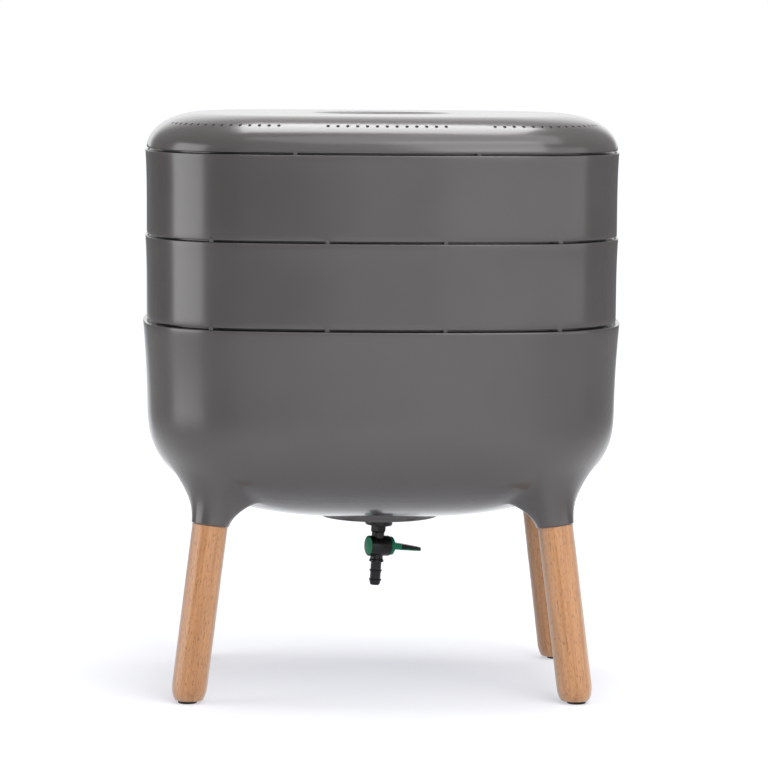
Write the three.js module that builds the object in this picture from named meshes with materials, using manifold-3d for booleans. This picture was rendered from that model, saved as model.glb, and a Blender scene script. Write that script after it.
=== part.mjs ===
// Wormery: two stacking trays and a vented lid on a moulded sump with four beech legs and a drain tap
import * as THREE from 'three';
import { mergeVertices } from 'three/addons/utils/BufferGeometryUtils.js';
import Module from 'manifold-3d';

const wasm = await Module();
wasm.setup();


// Millimetres, +Z up, the front is -Y, and the origin is on the floor under the middle
const seat = 0.3;
const overrun = 4;

// Plan outline of the tray rims: flat arcs at front, back and sides, and tangent corner arcs
const halfWidth = 250;
const halfDepth = 190;
const frontRadius = 918;
const sideRadius = 556;
const cornerRadius = 122;

// Heights of the stack above the floor
const baseRimHeight = 390;
const trayPitch = 89.6;
const ventGap = 2.3;

// Sump: wall, bowl and rim
const baseWall = 3.5;
const baseRimOutset = 2.6;
const baseWallInset = 2.1;
const shoulderHeight = 289;
const bellyHeight = 182;
const rimWall = 3;
const planPower = 2.6;
const dropPower = 2.27;
const baseFlarePower = 2;

// Leg sockets under the sump's corners
const socketInsetX = 70.9;
const socketInsetY = 68.4;
const socketX = halfWidth - socketInsetX;
const socketY = halfDepth - socketInsetY;
const lipHeight = 184;
const splayAcrossAngle = 7.07;
const splayAlongAngle = 4.86;
const lipRadius = 19.8;
const neckWall = 3;
const neckRise = 6;
const windowTopAngle = 20;
const windowFootAngle = 48;
const bowlHandleShare = 0.3;
const lipHandleShare = 0.25;
const tubeWall = 3;
const webThickness = 6;

// Turned legs, their glides and their screws
const legRadius = 18.4;
const tenonRadius = 14;
const tenonLength = 30;
const legEndRadius = 9.5;
const legRoundLength = 19;
const glideRadius = 10;
const glideThickness = 3;
const nailRadius = 2;
const nailLength = 14;
const screwRadius = 2.4;
const screwLength = 38;
const screwPoint = 5;
const screwHeadRadius = 6;
const screwHeadHeight = 4;
const recessRadius = 2.2;
const recessDepth = 2.4;
const washerRadius = 9;
const washerThickness = 2;

// Trays
const trayWall = 3;
const trayWallInset = 1.5;
const trayFlarePower = 4;
const spigotDepth = 12;
const spigotPlay = 1;
const spigotWall = 2.5;
const floorThickness = 3;
const floorHoleRadius = 4;
const floorHolePitch = 70;
const floorHoleColumns = 5;
const floorHoleRows = 3;

// Spacer lugs that keep the vent gaps open
const lugWidth = 4;
const lugReach = 2.6;
const trayLugXs = [60, 178];
const lidLugX = 93;

// Lid
const lidInset = 1.5;
const lidWall = 3;
const lidRise = 30.6;
const shoulderRunX = 40;
const shoulderRunY = 24;
const lidSpigotDepth = 10;
const lidSpigotRoot = 5;
const ventRadius = 1.6;
const ventPitch = 10;
const ventInset = 13.5;
const ventMiddleCount = 13;
const ventSideCount = 15;
const ventGroupGap = 50;

// Finger dish and pinch grip in the lid
const dishHalfLength = 73.5;
const dishHalfWidth = 50;
const dishDepth = 22;
const gripHalfLength = 81;
const gripWidth = 24;
const gripRise = 7.9;
const gripEdge = 4;
const gripEndShare = 0.62;

// Drain boss and the hole for the tap
const bossRadius = 63;
const bossDrop = 3.5;
const bossDepth = 6.4;
const drainHoleRadius = 10;
const drainSeatRadius = 16;
const drainSeatRise = 5;

// Tap: it hangs a little out of square in its soft gaskets
const tapLeanAngle = 3.4;
const tapTurnAngle = 24;
const gasketRadius = 15.2;
const gasketThickness = 3;
const innerGasketRadius = 14;
const innerGasketThickness = 2.5;
const nutAcross = 27;
const nutHeight = 7;
const tailRadius = 8.3;
const tailSpare = 2;
const flangeRadius = 14.75;
const flangeThickness = 5.8;
const neckAcross = 15.4;
const neckLength = 7;
const throatRadius = 6.75;
const neckTurnAngle = 26;
const housingRadius = 11;
const housingLeft = 10.5;
const housingRight = 13;
const housingDrop = 33.5;
const collarRadius = 7.9;
const collarLength = 6;
const barbRadius = 5.7;
const barbLength = 31;
const barbCrestRadius = 6.9;
const barbSpacing = 9.7;
const barbTaper = 4.5;
const barbFirstDrop = 14;
const barbCount = 2;
const boreRadius = 3.5;

// Tap plug, its seals and its lever
const plugRadius = 7.3;
const plugDiscRadius = 9.6;
const plugDiscThickness = 1.8;
const driveSide = 8;
const driveLength = 3;
const sealRadius = 0.85;
const sealOffset = 6;
const sealGrooveWidth = 2.4;
const leverCollarRadius = 10;
const leverCollarLength = 3.8;
const leverReach = 34.5;
const leverWidth = 14;
const leverRootThickness = 7.5;
const leverTipThickness = 4;
const leverBlockLength = 9;
const tongueThickness = 2.2;
const tongueWidth = 9;
const tongueLength = 15;

// Facets
const frontSteps = 2;
const cornerSteps = 6;
const sideSteps = 1;
const bowlUpperSteps = 2;
const windowRows = 3;
const marginSteps = 1;
const bowlLowerSteps = 4;
const flareSteps = 4;
const innerFlareSteps = 2;
const baseWallSteps = 3;
const innerWallSteps = 1;
const trayWallSteps = 2;
const shoulderSteps = 5;
const innerShoulderSteps = 3;
const legEndSteps = 3;
const edgeSteps = 2;
const curveSteps = 5;
const ventLineSteps = 24;
const bossSides = 32;
const roundSides = 16;
const smallSides = 8;
const hexSides = 6;
const sealSides = 4;
const ventSides = 4;

// Materials
const finishes = {
  shell: new THREE.MeshStandardMaterial({ color: 0x6a6768, roughness: 0.42, metalness: 0 }),
  beech: new THREE.MeshStandardMaterial({ color: 0xcf9f74, roughness: 0.6, metalness: 0 }),
  black: new THREE.MeshStandardMaterial({ color: 0x1b1c1e, roughness: 0.38, metalness: 0 }),
  green: new THREE.MeshStandardMaterial({ color: 0x1f7f63, roughness: 0.35, metalness: 0 }),
  rubber: new THREE.MeshStandardMaterial({ color: 0x8f9294, roughness: 0.8, metalness: 0 }),
  seal: new THREE.MeshStandardMaterial({ color: 0x2a2a2b, roughness: 0.75, metalness: 0 }),
  steel: new THREE.MeshStandardMaterial({ color: 0xb9bcc0, roughness: 0.3, metalness: 1 }),
};

const wormery = new THREE.Group();

// Solids and their joins

// A closed geometry with its shared vertices merged and its empty triangles dropped
function weld(geometry) {
  const bare = geometry.clone();
  bare.deleteAttribute('normal');
  bare.deleteAttribute('uv');
  const merged = mergeVertices(bare);
  const corners = merged.index.array;
  const kept = [];
  for (let i = 0; i < corners.length; i += 3) {
    const [a, b, c] = corners.slice(i, i + 3);
    if (a !== b && b !== c && c !== a) kept.push(a, b, c);
  }
  merged.setIndex(kept);
  return merged;
}

function solid(geometry) {
  const closed = weld(geometry);
  const vertProperties = new Float32Array(closed.getAttribute('position').array);
  const triVerts = new Uint32Array(closed.index.array);
  return new wasm.Manifold(new wasm.Mesh({ numProp: 3, vertProperties, triVerts }));
}

function join(...pieces) {
  return pieces.reduce((whole, piece) => whole.add(piece));
}

function cut(whole, ...tools) {
  return tools.reduce((rest, tool) => rest.subtract(tool), whole);
}

function geometryOf(piece) {
  const mesh = piece.getMesh();
  const geometry = new THREE.BufferGeometry();
  geometry.setAttribute('position', new THREE.BufferAttribute(mesh.vertProperties, 3));
  geometry.setIndex(new THREE.BufferAttribute(mesh.triVerts, 1));
  return geometry;
}

function place(name, piece, material, parent = wormery) {
  const geometry = piece instanceof THREE.BufferGeometry ? weld(piece) : geometryOf(piece);
  geometry.computeVertexNormals();
  const mesh = new THREE.Mesh(geometry, material);
  mesh.name = name;
  parent.add(mesh);
  return mesh;
}

// A body turned round the Z axis from points of radius and height, lowest first
function turned(profile, sides = roundSides) {
  const points = profile.map(([radius, height]) => new THREE.Vector2(radius, height));
  const geometry = new THREE.LatheGeometry(points, sides);
  return geometry.rotateX(Math.PI / 2).rotateZ(Math.PI / sides);
}

function cylinder(radius, low, high, sides = roundSides) {
  return turned([[0, low], [radius, low], [radius, high], [0, high]], sides);
}

function tube(outer, inner, low, high, sides = roundSides) {
  return turned([[inner, low], [outer, low], [outer, high], [inner, high], [inner, low]], sides);
}

function hexagon(across, low, high) {
  return cylinder(across / 2 / Math.cos(Math.PI / hexSides), low, high, hexSides);
}

function box(sizeX, sizeY, low, high) {
  const geometry = new THREE.BoxGeometry(sizeX, sizeY, high - low);
  return geometry.translate(0, 0, (low + high) / 2);
}

// Triangles between rings of points that run anticlockwise seen from above, highest ring first
class Skin {
  constructor() {
    this.points = [];
  }

  face(a, b, c) {
    for (const p of [a, b, c]) this.points.push(p.x, p.y, p.z);
  }

  quad(a, b, c, d) {
    this.face(a, b, c);
    this.face(a, c, d);
  }

  band(upper, lower) {
    upper.forEach((point, i) => {
      const next = (i + 1) % upper.length;
      this.quad(lower[i], lower[next], upper[next], point);
    });
  }

  bands(rings) {
    for (let k = 1; k < rings.length; k += 1) this.band(rings[k - 1], rings[k]);
  }

  lidOn(ring, centre) {
    ring.forEach((point, i) => this.face(centre, point, ring[(i + 1) % ring.length]));
  }

  floorUnder(ring, centre) {
    ring.forEach((point, i) => this.face(centre, ring[(i + 1) % ring.length], point));
  }

  geometry() {
    const geometry = new THREE.BufferGeometry();
    geometry.setAttribute('position', new THREE.Float32BufferAttribute(this.points, 3));
    return geometry;
  }
}

// Plan outline

// Middle of the corner arc that touches the front arc and the side arc from inside
function cornerMiddle() {
  const front = new THREE.Vector2(0, halfDepth - frontRadius);
  const side = new THREE.Vector2(halfWidth - sideRadius, 0);
  const toFront = frontRadius - cornerRadius;
  const toSide = sideRadius - cornerRadius;
  const apart = front.distanceTo(side);
  const along = (toFront ** 2 - toSide ** 2 + apart ** 2) / (2 * apart);
  const across = Math.sqrt(toFront ** 2 - along ** 2);
  const line = side.clone().sub(front).normalize();
  const outward = new THREE.Vector2(line.y, -line.x);
  return front.clone().addScaledVector(line, along).addScaledVector(outward, across);
}

const corner = cornerMiddle();
const sideAngle = Math.atan2(corner.y, corner.x - halfWidth + sideRadius);
const frontAngle = Math.atan2(corner.x, corner.y - halfDepth + frontRadius);

// Places round the outline, anticlockwise from the right-hand side arc: arc middle, radius and angle
function outlinePlaces(steps) {
  const places = [];
  const quarter = Math.PI / 2;
  const arc = (x, y, radius, from, to, count, isCorner) => {
    for (let i = 0; i < count; i += 1) {
      const angle = from + ((to - from) * i) / count;
      places.push({ x, y, radius, angle, startsCorner: isCorner && i === 0 });
    }
  };
  const sides = [
    [1, 1, 0], [-1, 1, 1], [-1, -1, 2], [1, -1, 3],
  ];
  for (const [signX, signY, turn] of sides) {
    const start = turn * quarter;
    const odd = turn % 2 === 1;
    const [before, after] = odd ? [frontAngle, sideAngle] : [sideAngle, frontAngle];
    const flat = odd
      ? [0, signY * (halfDepth - frontRadius), frontRadius, frontSteps]
      : [signX * (halfWidth - sideRadius), 0, sideRadius, sideSteps];
    arc(flat[0], flat[1], flat[2], start - before, start + before, 2 * flat[3], false);
    const bend = [signX * corner.x, signY * corner.y, cornerRadius];
    arc(...bend, start + before, start + quarter - after, steps, true);
  }
  return places;
}

const places = outlinePlaces(cornerSteps);

// The outline moved out by an outset, at one height
function ring(outset, height, shareX = 1, shareY = shareX, spots = places) {
  return spots.map(({ x, y, radius, angle }) => {
    const reach = radius + outset;
    const px = x + reach * Math.cos(angle);
    const py = y + reach * Math.sin(angle);
    return new THREE.Vector3(px * shareX, py * shareY, height);
  });
}

function middle(height) {
  return new THREE.Vector3(0, 0, height);
}

// A closed stack of rings, highest first
function stack(rings) {
  const skin = new Skin();
  skin.lidOn(rings[0], middle(rings[0][0].z));
  skin.bands(rings);
  const last = rings[rings.length - 1];
  skin.floorUnder(last, middle(last[0].z));
  return skin.geometry();
}

// Rings of a wall that flares towards its rim, highest first
function wallRings(foot, rim, power, steps) {
  const rings = [];
  for (let k = 0; k <= steps; k += 1) {
    const share = 1 - k / steps;
    const outset = foot.outset + (rim.outset - foot.outset) * share ** power;
    rings.push(ring(outset, foot.height + (rim.height - foot.height) * share));
  }
  return rings;
}

// The inside of a wall: a straight land for the spigot above, and a taper below it, highest first
function insideRings(foot, rimHeight, power, steps) {
  const land = { outset: -rimWall, height: rimHeight - spigotDepth - spigotPlay };
  return [ring(-rimWall, rimHeight + overrun), ...wallRings(foot, land, power, steps)];
}

// Legs: where each socket's lip stands, and the turn that sets +Z along the leg

const legCorners = [
  { name: 'front_left', signX: -1, signY: -1 },
  { name: 'front_right', signX: 1, signY: -1 },
  { name: 'rear_right', signX: 1, signY: 1 },
  { name: 'rear_left', signX: -1, signY: 1 },
];

function legFrame({ signX, signY }) {
  const slopeX = Math.tan(THREE.MathUtils.degToRad(splayAcrossAngle));
  const slopeY = Math.tan(THREE.MathUtils.degToRad(splayAlongAngle));
  const up = new THREE.Vector3(-signX * slopeX, -signY * slopeY, 1).normalize();
  const frame = new THREE.Object3D();
  frame.position.set(signX * socketX, signY * socketY, lipHeight);
  frame.quaternion.setFromUnitVectors(new THREE.Vector3(0, 0, 1), up);
  frame.updateMatrixWorld(true);
  return frame;
}

// Sump

// Bowl place by perimeter place and turn from the shoulder, 0, to the belly's middle, a quarter turn
function bowlPoint(spot, outset, turn, bottom) {
  const share = Math.cos(turn) ** (2 / planPower);
  const drop = Math.sin(turn) ** (2 / dropPower);
  const reach = spot.radius + outset;
  const depth = shoulderHeight - bottom;
  const outward = new THREE.Vector3(Math.cos(spot.angle), Math.sin(spot.angle), 0);
  const atShoulder = new THREE.Vector3(spot.x, spot.y, 0).addScaledVector(outward, reach);
  const level = (planPower * share ** (planPower - 1)) / atShoulder.dot(outward);
  const slope = (dropPower * drop ** (dropPower - 1)) / depth;
  const point = atShoulder.multiplyScalar(share).setZ(shoulderHeight - drop * depth);
  point.normal = outward.multiplyScalar(level).setZ(-slope).normalize();
  return point;
}

// One line of a socket's flare: it leaves the bowl along its skin and lands on the lip along the leg
function flareLine(from, lip, up, steps) {
  const way = lip.clone().sub(from);
  const leave = way.clone().addScaledVector(from.normal, -way.dot(from.normal)).normalize();
  const span = way.length();
  const curve = new THREE.CubicBezierCurve3(
    from,
    from.clone().addScaledVector(leave, span * bowlHandleShare),
    lip.clone().addScaledVector(up, span * lipHandleShare),
    lip,
  );
  return curve.getPoints(steps);
}

// Turns down the bowl at which its rings stand: above, beside and below the flares' windows
function bowlTurns() {
  const turns = [];
  const stretches = [
    [0, windowTopAngle, bowlUpperSteps],
    [windowTopAngle, windowFootAngle, windowRows],
    [windowFootAngle, 90, bowlLowerSteps],
  ];
  for (const [from, to, steps] of stretches) {
    for (let k = 0; k < steps; k += 1) {
      turns.push(THREE.MathUtils.degToRad(from + ((to - from) * k) / steps));
    }
  }
  return turns;
}

// The bowl with its four flares as one closed skin, used once outside and once inside
function vessel({ outset, bottom, wall, radius, lift, steps }) {
  const skin = new Skin();
  const count = places.length;
  const grid = bowlTurns().map((turn) => places.map((spot) => bowlPoint(spot, outset, turn, bottom)));
  const [top, foot] = [bowlUpperSteps, bowlUpperSteps + windowRows];
  const columns = cornerSteps - 2 * marginSteps;
  const starts = places.flatMap((spot, i) => (spot.startsCorner ? [i + marginSteps] : []));
  const inColumns = (i) => starts.some((start) => i >= start && i < start + columns);
  const inWindow = (i, k) => k >= top && k < foot && inColumns(i);
  skin.lidOn(wall[0], middle(wall[0][0].z));
  skin.bands([...wall.slice(0, -1), grid[0]]);
  for (let k = 0; k + 1 < grid.length; k += 1) {
    for (let i = 0; i < count; i += 1) {
      const next = (i + 1) % count;
      if (!inWindow(i, k)) skin.quad(grid[k + 1][i], grid[k + 1][next], grid[k][next], grid[k][i]);
    }
  }
  skin.floorUnder(grid[grid.length - 1], middle(bottom));
  starts.forEach((start, c) => {
    const frame = legFrame(flareCorners[c]);
    const up = new THREE.Vector3(0, 0, 1).applyQuaternion(frame.quaternion);
    const base = frame.position.clone().addScaledVector(up, lift);
    const at = (i, k) => grid[k][(start + i) % count];
    const loop = [];
    for (let i = 0; i < columns; i += 1) loop.push(at(i, top));
    for (let k = top; k < foot; k += 1) loop.push(at(columns, k));
    for (let i = columns; i > 0; i -= 1) loop.push(at(i, foot));
    for (let k = foot; k > top; k -= 1) loop.push(at(0, k));
    const lines = loop.map((from) => {
      const angle = Math.atan2(from.y - base.y, from.x - base.x);
      const rim = new THREE.Vector3(radius * Math.cos(angle), radius * Math.sin(angle), 0);
      return flareLine(from, rim.applyQuaternion(frame.quaternion).add(base), up, steps);
    });
    const rings = [];
    for (let s = 0; s <= steps; s += 1) rings.push(lines.map((line) => line[s]));
    skin.bands(rings);
    skin.floorUnder(rings[steps], base);
  });
  return solid(skin.geometry());
}

// The corners in the order in which the outline meets them
const flareCorners = [legCorners[2], legCorners[3], legCorners[0], legCorners[1]];

// Heights inside a socket, from its lip up along the leg
const tubeTop = tenonLength + seat + webThickness;

function inLegFrame(geometry, legCorner) {
  return solid(geometry.applyMatrix4(legFrame(legCorner).matrixWorld));
}

function makeBase() {
  const outerFoot = { outset: -baseWallInset, height: shoulderHeight };
  const innerFoot = { outset: -baseWallInset - baseWall, height: shoulderHeight };
  const outer = vessel({
    outset: outerFoot.outset,
    bottom: bellyHeight,
    wall: wallRings(
      outerFoot,
      { outset: baseRimOutset, height: baseRimHeight },
      baseFlarePower,
      baseWallSteps,
    ),
    radius: lipRadius,
    lift: 0,
    steps: flareSteps,
  });
  const inner = vessel({
    outset: innerFoot.outset,
    bottom: bellyHeight + baseWall,
    wall: insideRings(innerFoot, baseRimHeight, baseFlarePower, innerWallSteps),
    radius: lipRadius - neckWall,
    lift: neckRise,
    steps: innerFlareSteps,
  });
  const tubes = legCorners.map((legCorner) => (
    inLegFrame(cylinder(tenonRadius + seat + tubeWall, neckWall, tubeTop), legCorner)
  ));
  const bores = legCorners.flatMap((legCorner) => [
    inLegFrame(cylinder(tenonRadius + seat, -overrun, tenonLength + seat), legCorner),
    inLegFrame(cylinder(screwRadius + seat, 0, tubeTop + overrun, smallSides), legCorner),
  ]);
  const bossFace = bellyHeight - bossDrop;
  const boss = solid(cylinder(bossRadius, bossFace, bossFace + bossDepth, bossSides));
  const seatFace = bellyHeight + drainSeatRise;
  const drain = solid(cylinder(drainHoleRadius, bossFace - overrun, seatFace + overrun));
  const drainSeat = solid(cylinder(drainSeatRadius, bellyHeight, seatFace));
  const cavity = cut(inner, ...tubes);
  return cut(join(cut(join(outer, boss), cavity), drainSeat), ...bores, drain);
}

// Trays and lid

function lug(x, faceY, low, high) {
  const geometry = box(lugWidth, lugReach, low, high);
  return solid(geometry.translate(x, faceY, 0));
}

// Distance from the middle to the front of the outline at one place across
function frontDepth(x, outset) {
  const radius = frontRadius + outset;
  const onFlat = x < Math.sin(frontAngle) * radius;
  if (onFlat) return Math.sqrt(radius ** 2 - x ** 2) + halfDepth - frontRadius;
  return Math.sqrt((cornerRadius + outset) ** 2 - (x - corner.x) ** 2) + corner.y;
}

function lugs(xs, outset, low, high) {
  return xs.flatMap((x) => {
    const faceY = frontDepth(x, outset) - lugReach / 2;
    return [1, -1].flatMap((signX) => [1, -1].map((signY) => lug(signX * x, signY * faceY, low, high)));
  });
}

function floorHoles(low, high) {
  const holes = [];
  for (let column = 0; column < floorHoleColumns; column += 1) {
    for (let row = 0; row < floorHoleRows; row += 1) {
      const x = (column - (floorHoleColumns - 1) / 2) * floorHolePitch;
      const y = (row - (floorHoleRows - 1) / 2) * floorHolePitch;
      holes.push(solid(cylinder(floorHoleRadius, low, high, hexSides).translate(x, y, 0)));
    }
  }
  return holes;
}

// A tray in its own frame: z is 0 at the rim of the piece that it stands on
function makeTray() {
  const rimHeight = trayPitch;
  const spigotOutset = -rimWall - spigotPlay;
  const footHeight = -spigotDepth;
  const outerFoot = { outset: -trayWallInset, height: ventGap };
  const outer = solid(stack([
    ...wallRings(outerFoot, { outset: 0, height: rimHeight }, trayFlarePower, trayWallSteps),
    ring(spigotOutset, ventGap),
    ring(spigotOutset, footHeight),
  ]));
  const innerFoot = { outset: -trayWallInset - trayWall, height: ventGap + trayWall * 2 };
  const inner = solid(stack([
    ...insideRings(innerFoot, rimHeight, trayFlarePower, trayWallSteps),
    ring(spigotOutset - spigotWall, ventGap + trayWall),
    ring(spigotOutset - spigotWall, footHeight + floorThickness),
  ]));
  const holes = floorHoles(footHeight - overrun, footHeight + floorThickness + overrun);
  const spacers = lugs(trayLugXs, -trayWallInset + lugReach / 4, seat, ventGap + trayWall / 2);
  return cut(join(cut(outer, inner), ...spacers), ...holes);
}

// Rings of the lid's shoulder and top, highest first, the middle of the top left to the cap
function lidRings(outset, rise, steps) {
  const rings = [];
  for (let k = steps; k >= 0; k -= 1) {
    const turn = (Math.PI / 2) * (k / steps);
    const shareX = 1 - ((1 - Math.cos(turn)) * shoulderRunX) / (halfWidth + outset);
    const shareY = 1 - ((1 - Math.cos(turn)) * shoulderRunY) / (halfDepth + outset);
    rings.push(ring(outset, rise * Math.sin(turn), shareX, shareY));
  }
  return rings;
}

// The dish as the lower half of a flattened ball whose middle is at the lid's top
function dish(grow) {
  const ball = new THREE.SphereGeometry(1, roundSides, smallSides).rotateX(Math.PI / 2);
  ball.scale(dishHalfLength + grow, dishHalfWidth + grow, dishDepth + grow);
  return solid(ball.translate(0, 0, lidRise));
}

// The grip as an arch across the dish, rounded along its edges
function grip(grow) {
  const top = gripRise + grow - gripEdge;
  const half = gripHalfLength + grow - gripEdge;
  const foot = -dishDepth - lidWall / 2;
  const outline = new THREE.Shape();
  outline.moveTo(-half * gripEndShare, foot);
  outline.lineTo(half * gripEndShare, foot);
  outline.lineTo(half, 0);
  outline.bezierCurveTo(half, top * gripEndShare, half * gripEndShare, top, 0, top);
  outline.bezierCurveTo(-half * gripEndShare, top, -half, top * gripEndShare, -half, 0);
  outline.closePath();
  const width = gripWidth + 2 * grow - 2 * gripEdge;
  const arch = new THREE.ExtrudeGeometry(outline, {
    depth: width,
    bevelThickness: gripEdge,
    bevelSize: gripEdge,
    bevelSegments: edgeSteps,
    curveSegments: curveSteps,
  });
  return solid(arch.translate(0, 0, -width / 2).rotateX(Math.PI / 2).translate(0, 0, lidRise));
}

// Walk along the shoulder's vent line from its front middle and return the places at the vents' pitch
function ventPlaces() {
  const line = ring(-lidInset - ventInset, 0, 1, 1, outlinePlaces(ventLineSteps));
  const lowest = line.reduce((best, point, i) => (point.y < line[best].y ? i : best), 0);
  const walk = (way) => {
    const spots = [];
    let [i, gone, next] = [lowest, 0, 0];
    const wanted = [];
    for (let n = 0; n <= (ventMiddleCount - 1) / 2; n += 1) wanted.push(n * ventPitch);
    const sideStart = ((ventMiddleCount - 1) / 2) * ventPitch + ventGroupGap;
    for (let n = 0; n < ventSideCount; n += 1) wanted.push(sideStart + n * ventPitch);
    while (next < wanted.length) {
      const from = line[i];
      const to = line[(i + way + line.length) % line.length];
      const length = from.distanceTo(to);
      while (next < wanted.length && wanted[next] <= gone + length) {
        spots.push(from.clone().lerp(to, (wanted[next] - gone) / length));
        next += 1;
      }
      gone += length;
      i = (i + way + line.length) % line.length;
    }
    return spots;
  };
  const front = [...walk(1), ...walk(-1).slice(1)];
  return [...front, ...front.map((spot) => new THREE.Vector3(spot.x, -spot.y, 0))];
}

// The lid in its own frame: z is 0 at its lower edge
function makeLid() {
  const outer = solid(stack(lidRings(-lidInset, lidRise, shoulderSteps)));
  const inner = solid(stack([
    ...lidRings(-lidInset - lidWall, lidRise - lidWall, innerShoulderSteps),
    ring(-lidInset - lidWall, -overrun),
  ]));
  const skirtOutset = -rimWall - spigotPlay;
  const skirt = cut(
    solid(stack([ring(skirtOutset, lidSpigotRoot), ring(skirtOutset, -lidSpigotDepth)])),
    solid(stack([
      ring(skirtOutset - spigotWall, lidSpigotRoot + overrun),
      ring(skirtOutset - spigotWall, -lidSpigotDepth - overrun),
    ])),
  );
  const spacers = lugs([lidLugX], -lidInset, seat - ventGap, lidWall / 2);
  const hollow = join(cut(inner, dish(lidWall)), grip(-lidWall).intersect(dish(lidWall + overrun)));
  const shell = cut(join(cut(outer, dish(0)), grip(0)), hollow);
  const vents = ventPlaces().map((spot) => (
    solid(cylinder(ventRadius, lidSpigotRoot, lidRise + overrun, ventSides).translate(spot.x, spot.y, 0))
  ));
  return cut(join(shell, skirt, ...spacers), ...vents);
}

// Legs, glides, screws and washers, each in the frame of its socket's lip

// Distance from the lip down to the floor along a leg
const legWay = new THREE.Vector3(0, 0, 1).applyQuaternion(legFrame(legCorners[0]).quaternion);
const legDrop = lipHeight / legWay.z;

function makeLeg(legCorner) {
  const foot = -legDrop;
  const profile = [[0, foot]];
  for (let k = 0; k <= legEndSteps; k += 1) {
    const turn = (Math.PI / 2) * (k / legEndSteps);
    const radius = legEndRadius + (legRadius - legEndRadius) * Math.sin(turn);
    profile.push([radius, foot + legRoundLength * (1 - Math.cos(turn))]);
  }
  profile.push([legRadius, -seat], [tenonRadius, -seat], [tenonRadius, tenonLength], [0, tenonLength]);
  const pilot = solid(cylinder(screwRadius + seat, tubeTop - screwLength - seat, tubeTop, smallSides));
  const frame = legFrame(legCorner);
  const slab = box(legRadius * 4, legRadius * 4, -overrun - legRadius, glideThickness + seat);
  const nailHole = cylinder(nailRadius + seat, 0, glideThickness + nailLength + seat, smallSides);
  const under = legFoot(legCorner);
  const floorTools = [slab, nailHole].map((tool) => {
    tool.translate(under.x, under.y, 0).applyMatrix4(frame.matrixWorld.clone().invert());
    return solid(tool);
  });
  return cut(solid(turned(profile)), pilot, ...floorTools);
}

// Where a leg's axis meets the floor
function legFoot(legCorner) {
  return new THREE.Vector3(0, 0, -legDrop).applyMatrix4(legFrame(legCorner).matrixWorld);
}

function makeGlide() {
  return turned([
    [0, 0], [glideRadius, 0], [glideRadius, glideThickness], [nailRadius, glideThickness],
    [nailRadius, glideThickness + nailLength - nailRadius], [0, glideThickness + nailLength],
  ], smallSides);
}

function makeScrew() {
  const head = tubeTop + seat + washerThickness + seat;
  const tip = tubeTop - screwLength;
  const top = head + screwHeadHeight;
  const body = turned([
    [0, tip], [screwRadius, tip + screwPoint], [screwRadius, head], [screwHeadRadius, head],
    [screwHeadRadius, head + screwHeadHeight / 2], [screwHeadRadius / 2, top], [0, top],
  ], smallSides);
  const recess = hexagon(recessRadius * 2, top - recessDepth, top + overrun);
  return cut(solid(body), solid(recess));
}

function makeWasher() {
  const under = tubeTop + seat;
  return tube(washerRadius, screwRadius + seat, under, under + washerThickness, smallSides);
}

// Tap, in a frame whose origin is the middle of the boss face; the plug's axis is X in the turned frame

const flangeTop = -gasketThickness - seat;
const housingMiddle = -housingDrop;
const tailTop = bossDrop + drainSeatRise + innerGasketThickness + nutHeight + tailSpare;
const turnAngle = THREE.MathUtils.degToRad(tapTurnAngle);

// A geometry that was turned round Z, laid along the plug's axis
function alongPlug(geometry) {
  return geometry.rotateY(Math.PI / 2).translate(0, 0, housingMiddle);
}

function makeTapBody() {
  const neckTop = flangeTop - flangeThickness;
  const barbTop = housingMiddle - housingRadius;
  const profile = [[0, barbTop - barbLength], [barbRadius - sealRadius, barbTop - barbLength]];
  for (let n = barbCount - 1; n >= 0; n -= 1) {
    const crest = barbTop - barbFirstDrop - n * barbSpacing;
    profile.push([barbRadius, crest - barbTaper], [barbCrestRadius, crest], [barbRadius, crest]);
  }
  profile.push(
    [barbRadius, barbTop - collarLength], [collarRadius, barbTop - collarLength],
    [collarRadius, housingMiddle], [throatRadius, housingMiddle],
    [throatRadius, neckTop], [flangeRadius, neckTop], [flangeRadius, flangeTop],
    [tailRadius, flangeTop], [tailRadius, tailTop], [0, tailTop],
  );
  const neck = hexagon(neckAcross, neckTop - neckLength, neckTop + seat);
  neck.rotateZ(THREE.MathUtils.degToRad(neckTurnAngle));
  const housing = alongPlug(cylinder(housingRadius, -housingLeft, housingRight)).rotateZ(turnAngle);
  const [left, right] = [-housingLeft - overrun, housingRight + overrun];
  const plugWay = alongPlug(cylinder(plugRadius + seat, left, right));
  const discEnd = plugDiscThickness + seat - housingLeft;
  const discWay = alongPlug(cylinder(plugDiscRadius + seat, left, discEnd));
  const bore = cylinder(boreRadius, barbTop - barbLength - overrun, tailTop + overrun, smallSides);
  return cut(
    join(solid(turned(profile)), solid(neck), solid(housing)),
    solid(plugWay.rotateZ(turnAngle)),
    solid(discWay.rotateZ(turnAngle)),
    solid(bore),
  );
}

function makePlug() {
  const groove = plugRadius - 2 * sealRadius - seat;
  const profile = [
    [0, -housingLeft], [plugDiscRadius, -housingLeft],
    [plugDiscRadius, -housingLeft + plugDiscThickness], [plugRadius, -housingLeft + plugDiscThickness],
  ];
  for (const side of [-1, 1]) {
    const from = side * sealOffset - sealGrooveWidth / 2;
    const to = from + sealGrooveWidth;
    profile.push([plugRadius, from], [groove, from], [groove, to], [plugRadius, to]);
  }
  profile.push([plugRadius, housingRight], [0, housingRight]);
  const drive = box(driveSide, driveSide, housingRight - overrun, housingRight + driveLength);
  const bore = cylinder(boreRadius, -plugRadius - overrun, plugRadius + overrun, smallSides);
  bore.rotateX(Math.PI / 2);
  return cut(
    join(solid(alongPlug(turned(profile))), solid(alongPlug(drive))),
    solid(bore.translate(0, 0, housingMiddle)),
  );
}

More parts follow.
